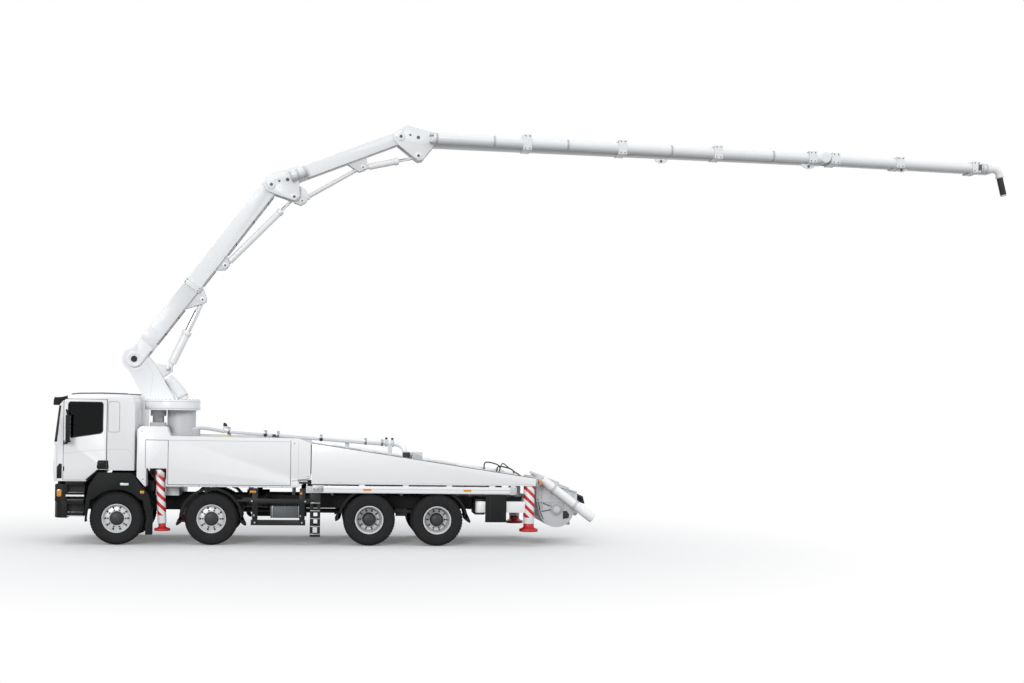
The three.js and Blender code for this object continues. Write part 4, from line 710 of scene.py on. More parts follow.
def sides():
    """Side boxes and tapered rear panels, with their seams, bolts, clips and lamps."""
    for (name, s), beam_x in zip(SIDES, BEAM_X):
        softened(f"side_box_{name}", 12, "white", (("under", lambda x, y, z: abs(y) < 1249),))
        softened(f"rear_panel_{name}", 6, "white", (
            ("white", lambda x, y, z: z < 1262 and x > 4000), ("dark_grey", lambda x, y, z: z < 1262)))
        shape = Shape()
        edge = beam_x + 141           # rear end of the front beam's pocket
        # Joints between the panels, and a crease along the tapered one.
        shape.seam([(555, 1560), (555, 2122), (edge, 2122), (edge, 1228), (3445, 1228), (3445, 2150)], s)
        shape.seam([(edge, 2122), (3445, 2122)], s, material="under")
        shape.seam([(3445, 1316), (3845, 1380)], s, width=7)
        shape.seam([(3602, 1330), (3602, 2180)], s, width=7, material="under")
        shape.seam([(3876, 2101), (8504, 1426)], s, width=13, material="dark_grey")
        shape.seam([(4000, 1298), (8480, 1298)], s, width=6, material="under")
        # Latch of the corner locker, then bolts.
        shape.prism(rounded(3617, 3838, 1268, 1306, 8), s * 1240, s * 1252, "seal")
        for x, z in ((516, 1332), (3524, 1196), (3520, 2090), (480, 2300), (3800, 1420)):
            shape.knob(x, z, s)
        # Two ribs along the lower rail, its side lamps and end brackets.
        shape.box(4134, 7966, s * 1240, s * 1248.5, 1164, 1172, "grey")
        shape.box(4134, 7966, s * 1240, s * 1248.5, 1096, 1104, "under")
        for x in (4930, 7000):
            shape.prism(rounded(x, x + 160, 1136, 1178, 8), s * 1242, s * 1253, "amber")
        shape.prism(rounded(2640, 2760, 1076, 1118, 8), s * 1225, s * 1240, "amber")
        shape.bar((3666, s * 1225, 1068), (3666, s * 1246, 1068), 26, "amber", 20)
        shape.prism(rounded(3763, 3888, 1080, 1220, 10), s * 1150, s * 1238, "under")
        shape.prism(rounded(3900, 4120, 1096, 1228, 10), s * 1243, s * 1251, "steel")
        for x in (3930, 4010, 4090):
            shape.knob(x, 1162, s, 1250, 16, 6, "dark_grey")
        shape.prism(rounded(7975, 8110, 1086, 1236, 16), s * 1190, s * 1249, "under")
        for x, z in ((8075, 1205), (8075, 1115), (8010, 1160)):
            shape.knob(x, z, s, 1249, 12, 5)
        shape.finish(f"side_details_{name}", "chassis", 1.5)
        clip = loose(lambda q: q.box(-22, 22, -14, 14, -32, 32, "seal"))
        repeated(f"clips_{name}", clip, "seal", "chassis", 9,
                 (4200, s * 1226, 1248), (470, 0, 0), ring=False)
        repeated(f"box_bolts_{name}", hex_head(s, 11, 6), "steel", "chassis", 7,
                 (1300, s * 1250, 1204), (330, 0, 0), ring=False)


def guard_edge(shape, x, first, last, side, y0, y1):
    """Rolled edge of a mudguard about the axle at x, between two angles in degrees."""
    ring = []
    for radius, order in ((588, 1), (640, -1)):
        angles = [math.radians(first + (last - first) * k / 18) for k in range(19)][::order]
        ring += [(x + radius * math.cos(a), TYRE_RADIUS + radius * math.sin(a)) for a in angles]
    shape.prism(ring, side * y0, side * y1, "guard")


def guard_tail(shape, x, way, low, side, y0, y1):
    """Flared end of a mudguard ahead of (way -1) or behind (way 1) the axle at x."""
    shape.prism([(x + way * 566, low + 150), (x + way * 628, low + 190), (x + way * 700, low + 40),
                 (x + way * 690, low), (x + way * 640, low + 20), (x + way * 594, low + 60)],
                side * y0, side * y1, "guard")


def underbody():
    """Frame, side frames with tank and ladder, air tanks, mudguards and air springs."""
    softened("chassis_frame", 5, "chassis", (("iron", lambda x, y, z: abs(y) < 300),))
    softened("rear_mudguards", 3, "guard")
    for name, s in SIDES:
        softened(f"side_frame_{name}", 6, "chassis", (
            ("dark_grey", lambda x, y, z: 3040 < x < 3670 and abs(y) < 1152 and z < 805),))
        shape = Shape()
        # Bolts of the side frame, rungs of the ladder, bands and cap of the tank.
        for x, z in ((2677, 905), (3752, 905), (2722, 617), (3657, 607), (2740, 470), (3690, 470)):
            shape.knob(x, z, s, 1231, 18, 8)
        for z in (250, 410, 570, 730, 890):
            shape.box(3856, 4054, s * 1216, s * 1225, z - 22, z - 6, "steel")
        for x in (3090, 3620):
            shape.tube([(x, s * 1158, 566), (x, s * 1158, 806), (x, s * 640, 806)], 8, "steel", 8)
        shape.bar((3340, s * 1100, 798), (3340, s * 1100, 836), 42, "seal", 20)
        # Air tanks on their cradles.
        for y, z, radius, material in ((850, 900, 130, "chassis"), (600, 850, 110, "dark_grey")):
            shape.bar((2480, s * y, z), (2960, s * y, z), radius, material, 32)
        for x in (2510, 2890):
            shape.box(x, x + 40, s * 440, s * 990, 760, 790, "chassis")
        # Edges and flared ends of the mudguards.
        _, second, third, fourth = AXLES
        guard_edge(shape, second, -2, 182, s, 1196, 1226)
        for way in (-1, 1):
            guard_tail(shape, second, way, 400, s, 1085, 1226)
        guard_edge(shape, third, 58, 176, s, 1150, 1190)
        guard_edge(shape, fourth, 4, 122, s, 1150, 1190)
        guard_tail(shape, third, -1, 500, s, 640, 1190)
        guard_tail(shape, fourth, 1, 480, s, 640, 1190)
        shape.finish(f"frame_details_{name}", "chassis", 2)
        # Air bag and damper at each rear axle.
        for part, x in enumerate(AXLES[2:]):
            pad = Shape()
            pad.bar((x, s * 520, 610), (x, s * 520, 760), 95, "hose", 24)
            pad.bar((x + 190, s * 520, 520), (x + 260, s * 520, 960), 38, "steel", 16)
            pad.finish(f"air_spring_{part}_{name}", "chassis", 2)


# ------------------------------------------------------------------ outriggers

def outriggers():
    """Front beams that slide out and rear arms that swing out, with striped tubes and red legs."""
    lean = math.tan(math.radians(3))
    for (name, s), beam_x in zip(SIDES, BEAM_X):

        def at(z):
            """A point of the front leg's leaning axis."""
            return (beam_x - 25 + (1525 - z) * lean, s * FRONT_LEG_Y, z)
        node = f"front_beam_{name}"
        beam = Shape()
        beam.box(beam_x - 95, beam_x + 95, s * FRONT_LEG_Y, -s * 700, 1055.3, 1325.3, "white")
        beam.tube([at(440), at(1526)], 88, "stripes", 48)
        beam.tube([at(1500), at(1529)], 62, "stripes", 32)
        beam.box(beam_x - 70, beam_x + 70, s * 1180, s * 1212, 1400, 1470, "under")
        beam.finish(f"{node}_look", node, 5, replaces=(node,))
        node = f"front_leg_{name}"
        leg = Shape()
        leg.tube([at(380), at(1365)], 60, "red", 32)
        leg.tube([at(352), at(434)], 74, "red", 32)
        leg.tube([at(340), at(370)], 74, "red", 32, end_radius=60)
        leg.upright([(0, 290), (152, 290), (158, 296), (158, 334), (110, 350), (84, 362), (0, 362)],
                    at(320)[0], s * FRONT_LEG_Y, "red", 48)
        leg.finish(f"{node}_look", node, 3, replaces=(node,))
    hinge_x, hinge_y = REAR_HINGE
    leg_x, leg_y = REAR_LEG
    for name, s in SIDES:
        body = f"rear_arm_{name}"
        # Hinge drum, arm, striped tube round the leg and its cap.
        arm = Shape()
        arm.upright([(0, 694.3), (85, 694.3), (85, 935.7), (0, 935.7)], hinge_x, s * hinge_y, "white", 40)
        arm.box(hinge_x, leg_x - 60, s * 1000, s * 1180, 700, 930, "white")
        arm.upright([(96, 470), (117, 470), (117, 1255), (96, 1255)], leg_x, s * leg_y, "stripes", 48)
        arm.upright([(0, 1200), (100, 1200), (100, 1252), (0, 1252)], leg_x, s * leg_y, "stripes", 32)
        arm.finish(f"{body}_look", body, 5, replaces=(body,))
        # Cover that swings out with the arm.
        flap = Shape()
        flap.prism(rounded(7463, 7899, 501, 1064, 14), s * 1171, s * 1237, "guard")
        flap.seam([(7560, 520), (7560, 1050)], s, 1237, 8)
        flap.finish(f"{body}_flap", body, 3)
        node = f"rear_leg_{name}"
        leg = Shape()
        leg.upright([(0, 350), (94, 350), (94, 1120), (0, 1120)], leg_x, s * leg_y, "red", 32)
        leg.upright([(0, 350), (112, 350), (112, 464), (0, 464)], leg_x, s * leg_y, "red", 48)
        leg.upright([(0, 305), (190, 305), (196, 312), (196, 360), (150, 372), (112, 400), (0, 400)],
                    leg_x, s * leg_y, "red", 48)
        leg.finish(f"{node}_look", node, 3, replaces=(node,))


# ------------------------------------------------------------------ deck, pump and hopper

def rear_deck(x):
    """Top of the sloping rear deck."""
    return 2065 - (x - 3860) * 678 / 4650


def deck():
    """Superstructure, column, delivery and water pipes, and the fittings on the deck."""
    # Light grey, but white low at the front; round the foot of the column the light grey is painted shade.
    softened("superstructure", 6, "under", (("white", lambda x, y, z: x < 1500 and z < 1400),))
    shape = Shape()
    # Column with its foot, and the thinner post with a collar beside it. The column is light grey as painted
    # shade, for the shadow of the slewing ring and the cab.
    column_x, column_r = 1138, 293
    shape.upright([(0, 1395), (column_r, 1395), (column_r, 2727), (0, 2727)], column_x, 0, "under", 64)
    shape.upright([(290, 2190), (350, 2190), (350, 2215), (column_r, 2260)], column_x, 0, "under", 64)
    shape.upright([(0, 2180), (118, 2180), (118, 2610), (163, 2612), (163, 2722), (0, 2722)],
                  660, 0, "under", 40)
    # Valve blocks beside the column.
    shape.box(560, 860, -620, -330, 2195, 2470, "grey")
    shape.box(1420, 1560, -700, -420, 2186, 2350, "grey")
    # Delivery pipe down the deck, a thinner pipe beside it and their clamps.
    first, last, across = 2050, 5600, -430

    def on_pipe(x, aside=0, above=0):
        """A point beside and above the axis of the sloping delivery pipe."""
        return (x, across + aside, 2330 - (x - first) * 235 / (last - first) + above)
    shape.bar(on_pipe(first), on_pipe(last), 56, "white", 32)
    shape.bar((first + 60, across - 130, on_pipe(first)[2] - 34), on_pipe(last - 300, -130, -34),
              30, "under", 24)
    for x in (2150, 2900, 3160, 4050, 4980, 5330):
        height = on_pipe(x)[2]
        shape.bar(on_pipe(x - 26), on_pipe(x + 26), 68, "steel", 24)
        shape.box(x - 20, x + 20, across - 170, across - 40, height - 72, height - 10, "dark_grey")
    for x in (2900, 3080, 4050):
        height = on_pipe(x)[2]
        shape.box(x - 34, x + 34, across - 190, across - 120, height - 60, height - 5, "seal")
    # Filler neck, hoses at the front end and the bend at the rear end.
    shape.bar((2082, across, 2330), (2082, across, 2408), 50, "under", 24)
    shape.tube(smooth_path([(2082, across, 2400), (2070, across, 2440), (2030, across, 2452)], 4),
               34, "seal", 16)
    shape.tube(smooth_path([(1420, -620, 2330), (1600, -640, 2370), (1900, -560, 2330),
                            (2060, -560, 2300)], 4), 36, "under", 16)
    shape.tube(smooth_path([on_pipe(5560), on_pipe(5700, 0, -20), on_pipe(5800, -60, -120),
                            (5810, across - 60, rear_deck(5810))], 5), 56, "white", 24)
    # Walkway strip, couplings with their vents, and two machine housings.
    shape.box(1900, 2330, -1190, -1130, 2208, 2216, "sand")
    for x in (5490, 5615):
        height = on_pipe(x)[2]
        shape.bar(on_pipe(x - 100), on_pipe(x - 40), 78, "under", 24)
        shape.bar((x - 70, across, height + 60), (x - 70, across, height + 118), 26, "seal", 16)
    shape.box(5760, 5900, -760, -560, rear_deck(5760) - 20, rear_deck(5760) + 130, "seal")
    shape.prism([(5930, rear_deck(5930) - 20), (6190, rear_deck(6190) - 20), (6150, rear_deck(6150) + 120),
                 (5980, rear_deck(5980) + 150)], -700, -300, "grey")
    # Lids on the right half of the deck.
    for x in (4300, 5200, 6400):
        end = x + 620
        shape.prism([(x, rear_deck(x) - 10), (end, rear_deck(end) - 10),
                     (end, rear_deck(end) + 14), (x, rear_deck(x) + 14)], 260, 940, "grey")
    half = 180                        # length of a lid's half
    for x in (1800, 2300, 2800, 3300):
        shape.box(x - half, x + half, 250, 880, 2186, 2196, "under")
    # Hose loops over the end of each rear panel, and a single hose on the left.
    for side in (-1, 1):
        rail = [(7690, side * 1150, rear_deck(7690) - 10), (7720, side * 1150, rear_deck(7720) + 150),
                (7900, side * 1150, rear_deck(7900) + 165), (8040, side * 1150, rear_deck(8040) + 120),
                (8060, side * 1150, rear_deck(8060) - 10)]
        shape.tube(smooth_path(rail, 5), 15, "seal", 10)
        shape.box(7940, 8100, side * 1080, side * 1180, rear_deck(8100) - 10, rear_deck(8000) + 60, "under")
    shape.tube(smooth_path([(7740, -1100, rear_deck(7740)), (7820, -1060, rear_deck(7820) + 230),
                            (7990, -1000, rear_deck(7990) + 150), (8240, -960, rear_deck(8240) + 30)], 6),
               12, "seal", 10)
    shape.finish("deck_details", "chassis", 3)
    for row, y in enumerate(range(-880, -700, 60)):
        checker = loose(lambda q: q.prism([(-16, -3), (16, -3), (12, 2), (-12, 2)], -3, 3, "under"))
        repeated(f"deck_tread_{row}", checker, "steel", "chassis", 30,
                 (1500 + row % 2 * 30, y, 2191), (68, 0, 0), ring=False)


def hopper():
    """Pump unit, hopper with its side tubes, plates and levers, grate and agitator bearings."""
    softened("pump_unit", 4, "under", (("chassis", lambda x, y, z: z < 700),))
    softened("hopper", 5, "under", (("white", lambda x, y, z: abs(y) > 802),))
    softened("hopper_grate", 2, "white")
    shape = Shape()
    for _, s in SIDES:
        # Sloping side tube with its collars and open lower end, where a dark grey disc is painted shade.
        y = s * HOPPER_TUBE_Y
        tube = smooth_path([(8700, y, 1385), (9250, y, 975.5), (9800, y, 566)], 4)
        shape.tube(tube, 95, "white", 40)
        for x, _, z in (tube[2], tube[5]):
            shape.tube([(x - 20, y, z + 15), (x + 20, y, z - 15)], 108, "under", 40)
        shape.tube([(9560, y, 744.7), (9790, y, 573.4)], 104, "white", 40)
        shape.tube([(9780, y, 580.9), (9802, y, 564.5)], 84, "dark_grey", 40)
        # Ribs, rails and plates on the side wall, then the levers of the agitator drive.
        wall = s * HOPPER_WALL
        for x in (8720, 8900, 9160, 9380):
            top = 1395 - (x - 8580) * 0.32
            shape.box(x - 9, x + 9, wall, s * 832, 760 if x < 9300 else 920, top - 30, "under")
        shape.box(8580, 9470, s * 798, s * 822, 905, 935, "under")
        shape.prism([(8600, 1380), (9460, 1105), (9460, 1135), (8600, 1410)], s * 798, s * 840, "under")
        shape.prism([(9170, 717), (9256, 718), (9305, 644), (9291, 569), (9173, 547)],
                    wall, s * 812, "seal")
        for lever in ([(8628, 968), (8680, 700), (8750, 540)], [(8694, 894), (9012, 782)],
                      [(8708, 706), (8933, 745)]):
            shape.tube([(x, s * 806, z) for x, z in lever], 11, "dark_grey", 12)
        # Rear lamps.
        shape.box(8596, 8640, s * 960, s * 1120, 1290, 1390, "tail")
        shape.box(8596, 8640, s * 1125, s * 1180, 1290, 1390, "amber")
    # Rims beside the grate, rubber lip, agitator shaft and outlet.
    shape.prism([(8604, 1418), (8640, 1470), (9300, 1210), (9290, 1170)], -792, -620, "under")
    shape.prism([(8660, 1452), (8690, 1492), (9330, 1250), (9320, 1215)], 620, 792, "under")
    shape.prism([(9440, 1100), (9600, 1030), (9640, 880), (9620, 872), (9570, 1000), (9440, 1060)],
                -780, 780, "hose")
    x, z = AGITATOR
    bearing = 832
    shape.bar((x, -bearing, z), (x, bearing, z), 120, "grey", 40)
    shape.bar((x, -bearing - 24, z), (x, bearing + 24, z), 70, "under", 32)
    shape.box(9150, 9420, -240, 240, 380, 640, "grey")
    shape.finish("hopper_details", "chassis", 3)
    for name, s in SIDES:
        repeated(f"bearing_bolts_{name}", hex_head(s, 12, 10), "steel", "chassis", 8,
                 (x, s * bearing, z), 98)


# ------------------------------------------------------------------ turret and boom

def turret():
    """Slewing ring with its bolts, and the turret head with its pivot bosses and pipe elbow."""
    softened("turret", 8, "boom")
    shape = Shape()
    shape.upright([(0, 2728), (563, 2728), (566, 2740), (566, 2930), (556, 2946), (0, 2946)], SLEW_X, 0,
                  "white", 96)
    for z in (2762, 2905):
        shape.upright([(560, z - 6), (569, z - 6), (569, z + 6), (560, z + 6)], SLEW_X, 0, "under", 96)
    x, z = PIVOT_1
    for s in (-1, 1):
        shape.turned([(90, s * 172), (240, s * 172), (250, s * 171), (250, s * 150), (90, s * 150)],
                     x, z, "boom", 64)
        shape.turned([(70, s * 219), (88, s * 219), (88, s * 172), (70, s * 172)], x, z, "steel", 48)
        shape.bar((x, s * 128, z), (x, s * 182, z), 71, "seal", 40)
        shape.seam([(500, 3000), (560, 3480), (420, 3700)], s, 170, 7, "under")
        shape.bar((LIFT_BASE[0], s * 96, LIFT_BASE[1]), (LIFT_BASE[0], s * 110, LIFT_BASE[1]),
                  52, "steel", 24)
    shape.tube(smooth_path([(1190, 0, 2950), (1100, 0, 3130), (850, 0, 3400)], 4), 101, "boom", 32)
    shape.bar((1165, 0, 3000), (1145, 0, 3040), 116, "under", 32)
    shape.finish("turret_details", "turret", 2)
    bolt = loose(lambda q: q.bar((0, -6, 0), (0, 10, 0), 14, "steel", 6))
    repeated("ring_bolts", bolt, "steel", "turret", 40, (0, 0, 0), 530,
             stand=(SLEW_X, 0, 2946))


def pipe_run(shape, u0, u1, y, w, radius, joints):
    """Delivery pipe along an arm with its coupling rings."""
    shape.bar((u0, y, w), (u1, y, w), radius, "boom", 32)
    for u in joints:
        shape.bar((u - 24, y, w), (u + 24, y, w), radius + 12, "under", 32)
        shape.bar((u - 7, y, w), (u + 7, y, w), radius + 16, "steel", 32)


def pin_cap(shape, u, w, inner, outer, radius, keeper):
    """Boss of a boom pin on both faces, and the dark keeper in it, whose radius is keeper."""
    for s in (-1, 1):
        shape.bar((u, s * inner, w), (u, s * outer, w), radius, "boom", 32)
        shape.bar((u, s * (outer - 1), w), (u, s * (outer + 2), w), keeper, "dark_grey", 24)


def strap(shape, u, low, high, y0, y1, wide):
    """Band round the beam and its pipe: two raised edges and bolts."""
    for du in (-wide / 2 + 12, wide / 2 - 12):
        shape.box(u + du - 12, u + du + 12, y0 - 4, y1 + 4, low - 4, high + 4, "boom")
    for w in (low + 30, high - 30):
        for du in (-wide / 4, wide / 4):
            shape.bar((u + du, y0 - 10, w), (u + du, y0 + 4, w), 13, "dark_grey", 10)


def tying_eye(shape, u, w, radius=150):
    """Half-moon plate below an arm with a round eye, for tying hoses."""
    arc = [(u + radius * math.cos(a), w - radius * 0.62 * math.sin(a))
           for a in (math.pi * k / 12 for k in range(13))]
    shape.prism(arc, -250, -228, "boom")
    shape.bar((u, -255, w - radius * 0.3), (u, -224, w - radius * 0.3), 30, "dark_grey", 16)


def keeper_bolts(shape, at):
    """Bolt heads on a knuckle's plates, given as (u, w, radius)."""
    for u, w, radius in at:
        for s in (-1, 1):
            shape.bar((u, s * 188, w), (u, s * 192.5, w), radius, "dark_grey", 24)


def thin_pipes(shape, runs, across):
    """Hydraulic pipes under an arm. A run is its first u, last u, first w and last w."""
    for y in across:
        for first, last, w0, w1 in runs:
            shape.tube([(first, y, w0), (last, y, w1)], 9, "under", 10)


def outer_straps(shape, places, y1, ring):
    """Straps round arm 3 or 4 and its outer pipe, with a ring on the pipe under each."""
    y, w, r = OUTER_PIPE
    for u, low, high in places:
        strap(shape, u, low, high, y - r - 14, y1, 185)
        shape.bar((u - 94, y, w), (u + 94, y, w), r + ring, "boom", 40)


def first_arm():
    """Arm 1's pipe with the swivel at its end, its pins, band, thin pipes and brackets."""
    end = ARM_LENGTH[0]
    arm = Shape(arm_frame(0))
    pipe_run(arm, 185, 4600, 280, 0, INNER_PIPE, (900, 2500, 3700))
    arm.bar((4600, 280, 0), (end, 280, 0), 48, "boom", 32)
    arm.bar((end, 212, 0), (end, 366, 0), 50, "boom", 32)
    for s in (-1, 1):
        arm.turned([(90, s * 214), (158, s * 214), (158, s * 221), (90, s * 221)], 0, 0, "boom", 48)
    pin_cap(arm, end, 0, KNUCKLE_FACE, 206, 92, 34)
    pin_cap(arm, 1840, -343, 92, 104, 60, 22)
    pin_cap(arm, 2700, -268, 88, 104, 54, 22)
    strap(arm, 1960, -192, 192, -172, 172, 120)
    thin_pipes(arm, ((520, 1440, -178, -180), (2070, 2490, -182, -182), (2910, 4480, -182, -180)),
               (-115, -90, 100))
    for u in (800, 1240, 3200, 3800, 4300):
        arm.box(u - 14, u + 14, -130, 115, -192, -168, "dark_grey")
    arm.box(420, 660, -220, -212, -150, 150, "boom")
    arm.finish("arm_1_details", "arm_1", 2)


def second_arm():
    """Arm 2's pipe, knuckle drum, link, pins and thin pipes."""
    arm = Shape(arm_frame(1))
    pipe_run(arm, 65, 2900, 300, 0, INNER_PIPE, (900, 1900))
    arm.bar((432, -250, 7), (788, -250, 7), 98, "boom", 32)
    for u in (450, 600, 770):
        arm.bar((u - 22, -250, 7), (u + 22, -250, 7), 112, "under", 32)
    arm.tube([(600, 0, -490), (1860, 0, -300)], 45, "boom", 24)
    pin_cap(arm, ARM_LENGTH[1], 0, KNUCKLE_FACE, 206, 92, 34)
    pin_cap(arm, 350, -407, 189, 200, 72, 30)
    pin_cap(arm, 480, -530, 97, 108, 48, 20)
    pin_cap(arm, 1947, -318, 92, 104, 50, 20)
    keeper_bolts(arm, ((181, 11, 24), (354, -22, 38)))
    thin_pipes(arm, ((760, 1640, -136, -138), (2130, 2780, -138, -138)), (-115, -90))
    arm.finish("arm_2_details", "arm_2", 2)


def third_arm():
    """Arm 3's jacketed pipe, straps, pins, brackets and tying eyes."""
    y, w, r = OUTER_PIPE
    arm = Shape(arm_frame(2))
    pipe_run(arm, 692, 9386, y, w, r + 2, (760, 2000, 3600, 5900, 8200))
    outer_straps(arm, [(u, top_3(u) - 344 + u * 105 / ARM_LENGTH[2], top_3(u) + 14)
                       for u in (2710, 4800, 6940)], 124, 16)
    strap(arm, 9090, -130, 120, y - r - 14, 124, 180)
    pin_cap(arm, 384, -395, 189, 200, 72, 30)
    keeper_bolts(arm, ((199, 40, 24), (370, -3, 38)))
    for high in (60, -90):
        arm.box(610, 730, y - 60, -186, high - 20, high + 20, "under")
    tying_eye(arm, 5680, -210)
    tying_eye(arm, 9030, -150, 170)
    arm.turned([(0, y - r - 2), (60, y - r - 6), (114, y - r), (114, -158), (0, -158)],
               ARM_LENGTH[2], 0, "boom", 40)
    arm.finish("arm_3_details", "arm_3", 2)


def fourth_arm():
    """Arm 4's tapering pipe with its straps and end bend, and the short end hose."""
    y, w, r = OUTER_PIPE
    arm = Shape(arm_frame(3))
    arm.bar((132, y, w), (3915, y, w), r + 2, "boom", 40, end_radius=r - 8)
    outer_straps(arm, [(u, -128, 110) for u in (230, 1730, 3520)], 142, 15)
    arm.tube(smooth_path([(3700, y, w), (3955, y, w), (4060, y, w - 30), (4118, y, w - 110),
                          (4127, y, w - 188)], 6), 81, "boom", 32)
    for u in (3700, 3790):
        arm.bar((u - 20, y, w), (u + 20, y, w), 112, "under", 40)
    arm.box(3560, 3640, y - 128, y - 118, -80, 50, "dark_grey")
    arm.bar((4122, y, w - 160), (4127, y, w - 186), 90, "under", 32)
    tying_eye(arm, 1800, -118, 140)
    arm.finish("arm_4_details", "arm_4", 2)
    hose = Shape(arm_frame(3))
    top = w - 192.4
    hose.tube([(4127, y, top), (4237, y, top - 400)], 69, "hose", 40)
    hose.tube([(4229, y, top - 371), (4237, y, top - 400)], 70, "under", 40)
    hose.finish("end_hose_look", "arm_4", 3, replaces=("end_hose",))


def boom(settings):
    """The four arms, each with what is fixed to it."""
    for k in range(4):
        softened(f"arm_{k + 1}", settings.arm_edge * 1000, "boom")
    for dress in (first_arm, second_arm, third_arm, fourth_arm):
        dress()


def top_3(u):
    """Upper face of arm 3."""
    return 150 - u * 45 / ARM_LENGTH[2]


def on_arm(index, u, w):
    """(x, z) of a point of an arm in millimetres."""
    place = VEHICLE.inverted() @ arm_frame(index) @ Vector((u, 0, w))
    return place.x, place.z


def cylinders():
    """Barrels and rods between their pins: radii, share of the length in the barrel, and the rod's
    hidden start."""
    eye_outer = 74
    for name, base, pin, barrel, rod, share, hidden in (
            ("lift_cylinder", LIFT_BASE, on_arm(0, 1840, -343), 84, 62, 0.53, 445),
            ("arm_2_cylinder", on_arm(0, 2700, -268), on_arm(1, 350, -407), 64, 34, 0.8, 440),
            ("arm_3_cylinder", on_arm(1, 1947, -318), on_arm(2, 384, -395), 66, 34, 0.62, 490)):
        length = math.hypot(pin[0] - base[0], pin[1] - base[1])
        tilt = math.atan2(pin[1] - base[1], pin[0] - base[0])
        frame = VEHICLE @ Matrix.Translation((base[0], 0, base[1])) @ Matrix.Rotation(-tilt, 4, "Y")
        end = length * share
        shape = Shape(frame)
        shape.turned([(38, -50), (eye_outer, -50), (eye_outer, 50), (38, 50)], 0, 0, "white", 40)
        shape.bar((60, 0, 0), (150, 0, 0), 50, "white", 32)
        shape.bar((135, 0, 0), (165, 0, 0), barrel + 2, "white", 40)
        for start, stop, radius in ((165, end - 60, barrel + 2), (end - 60, end + 25, barrel + 15)):
            shape.turned_along(start, stop, rod + 1.5, radius, "white")
        shape.tube([(230, barrel + 14, 0), (end - 90, barrel + 14, 0)], 11, "steel", 10)
        shape.finish(f"{name}_barrel_look", f"{name}_barrel", 3,
                     replaces=(f"{name}_barrel",))
        shape = Shape(frame)
        shape.bar((hidden, 0, 0), (length - 250, 0, 0), rod, "chrome", 40)
        shape.bar((length - 255, 0, 0), (length - 62, 0, 0), min(rod, 48), "white", 32)
        shape.turned([(36, -50), (eye_outer, -50), (eye_outer, 50), (36, 50)], length, 0, "white", 40)
        shape.finish(f"{name}_rod_look", f"{name}_rod", 2, replaces=(f"{name}_rod",))


# ------------------------------------------------------------------ settings and operators

class PumpPaintSettings(bpy.types.PropertyGroup):
    body: bpy.props.FloatVectorProperty(
        name="Body", description="Colour of the body enamel",
        default=srgb("ededee")[:3], min=0, max=1, subtype="COLOR")
    boom: bpy.props.FloatVectorProperty(
        name="Boom", description="Colour of the boom enamel",
        default=srgb("e4e5e6")[:3], min=0, max=1, subtype="COLOR")
    stripe: bpy.props.FloatVectorProperty(
        name="Stripes", description="Colour of the warning stripes on the outriggers' tubes",
        default=srgb("bf1a1c")[:3], min=0, max=1, subtype="COLOR")
    foot: bpy.props.FloatVectorProperty(
        name="Feet", description="Colour of the outriggers' legs and feet",
        default=srgb("b8181b")[:3], min=0, max=1, subtype="COLOR")


class PumpWheelSettings(bpy.types.PropertyGroup):
    lugs: bpy.props.IntProperty(
        name="Tread blocks", description="Tread blocks round each row of a tyre", default=52, min=12, max=90)
    nuts: bpy.props.IntProperty(
        name="Wheel nuts", description="Nuts, and hand holes, round each wheel", default=10, min=5, max=12)


class PumpBodySettings(bpy.types.PropertyGroup):
    slats: bpy.props.IntProperty(
        name="Grille slats", description="Horizontal slats of the grille", default=6, min=2, max=20)


class PumpBoomSettings(bpy.types.PropertyGroup):
    arm_edge: bpy.props.FloatProperty(
        name="Arm edge", description="Rounding of the arms' edges", default=0.007,
        min=0.001, max=0.02, subtype="DISTANCE", unit="LENGTH")


class PumpStageSettings(bpy.types.PropertyGroup):
    lens: bpy.props.FloatProperty(
        name="Lens", description="Focal length of the camera", default=49.2, min=10, unit="CAMERA")
    heading: bpy.props.FloatProperty(
        name="Heading", description="Turn of the camera about the vertical",
        default=math.radians(-7.72), subtype="ANGLE", unit="ROTATION")
    roll: bpy.props.FloatProperty(
        name="Roll", description="Tilt of the camera about its own axis",
        default=math.radians(0.94), subtype="ANGLE", unit="ROTATION")
    sky: bpy.props.FloatProperty(
        name="Sky light", description="Strength of the light from all round", default=0.8)


class PumpPiece:
    """What all the operators that build a piece share."""
    bl_options = {"REGISTER", "UNDO"}


class PUMP_OT_wheels(PumpPiece, bpy.types.Operator):
    """Wheels with tread, rims, nuts and hubs"""
    bl_idname = "pump.wheels"
    bl_label = "Wheels"

    def execute(self, context):
        settings = context.scene.pump_wheels
        for name, side in SIDES:
            for row in range(len(AXLES)):
                wheel(row, name, side, settings)
        return {"FINISHED"}


class PUMP_OT_cab(PumpPiece, bpy.types.Operator):
    """Cab shell, visor, windscreen, grille and wipers"""
    bl_idname = "pump.cab"
    bl_label = "Cab"

    def execute(self, context):
        cab(context.scene.pump_body.slats)
        return {"FINISHED"}


class PUMP_OT_doors(PumpPiece, bpy.types.Operator):
    """Doors with their glass, seals, handles and mirrors"""
    bl_idname = "pump.doors"
    bl_label = "Doors"

    def execute(self, context):
        doors()
        return {"FINISHED"}


class PUMP_OT_lower_front(PumpPiece, bpy.types.Operator):
    """Bumper, lamps, boarding steps and front mudguards"""
    bl_idname = "pump.lower_front"
    bl_label = "Bumper and steps"

    def execute(self, context):
        lower_front()
        return {"FINISHED"}


class PUMP_OT_sides(PumpPiece, bpy.types.Operator):
    """Side boxes and tapered rear panels"""
    bl_idname = "pump.sides"
    bl_label = "Side panels"

    def execute(self, context):
        sides()
        return {"FINISHED"}


class PUMP_OT_underbody(PumpPiece, bpy.types.Operator):
    """Frame, side frames, ladder, tanks and rear mudguards"""
    bl_idname = "pump.underbody"
    bl_label = "Underbody"

    def execute(self, context):
        underbody()
        return {"FINISHED"}


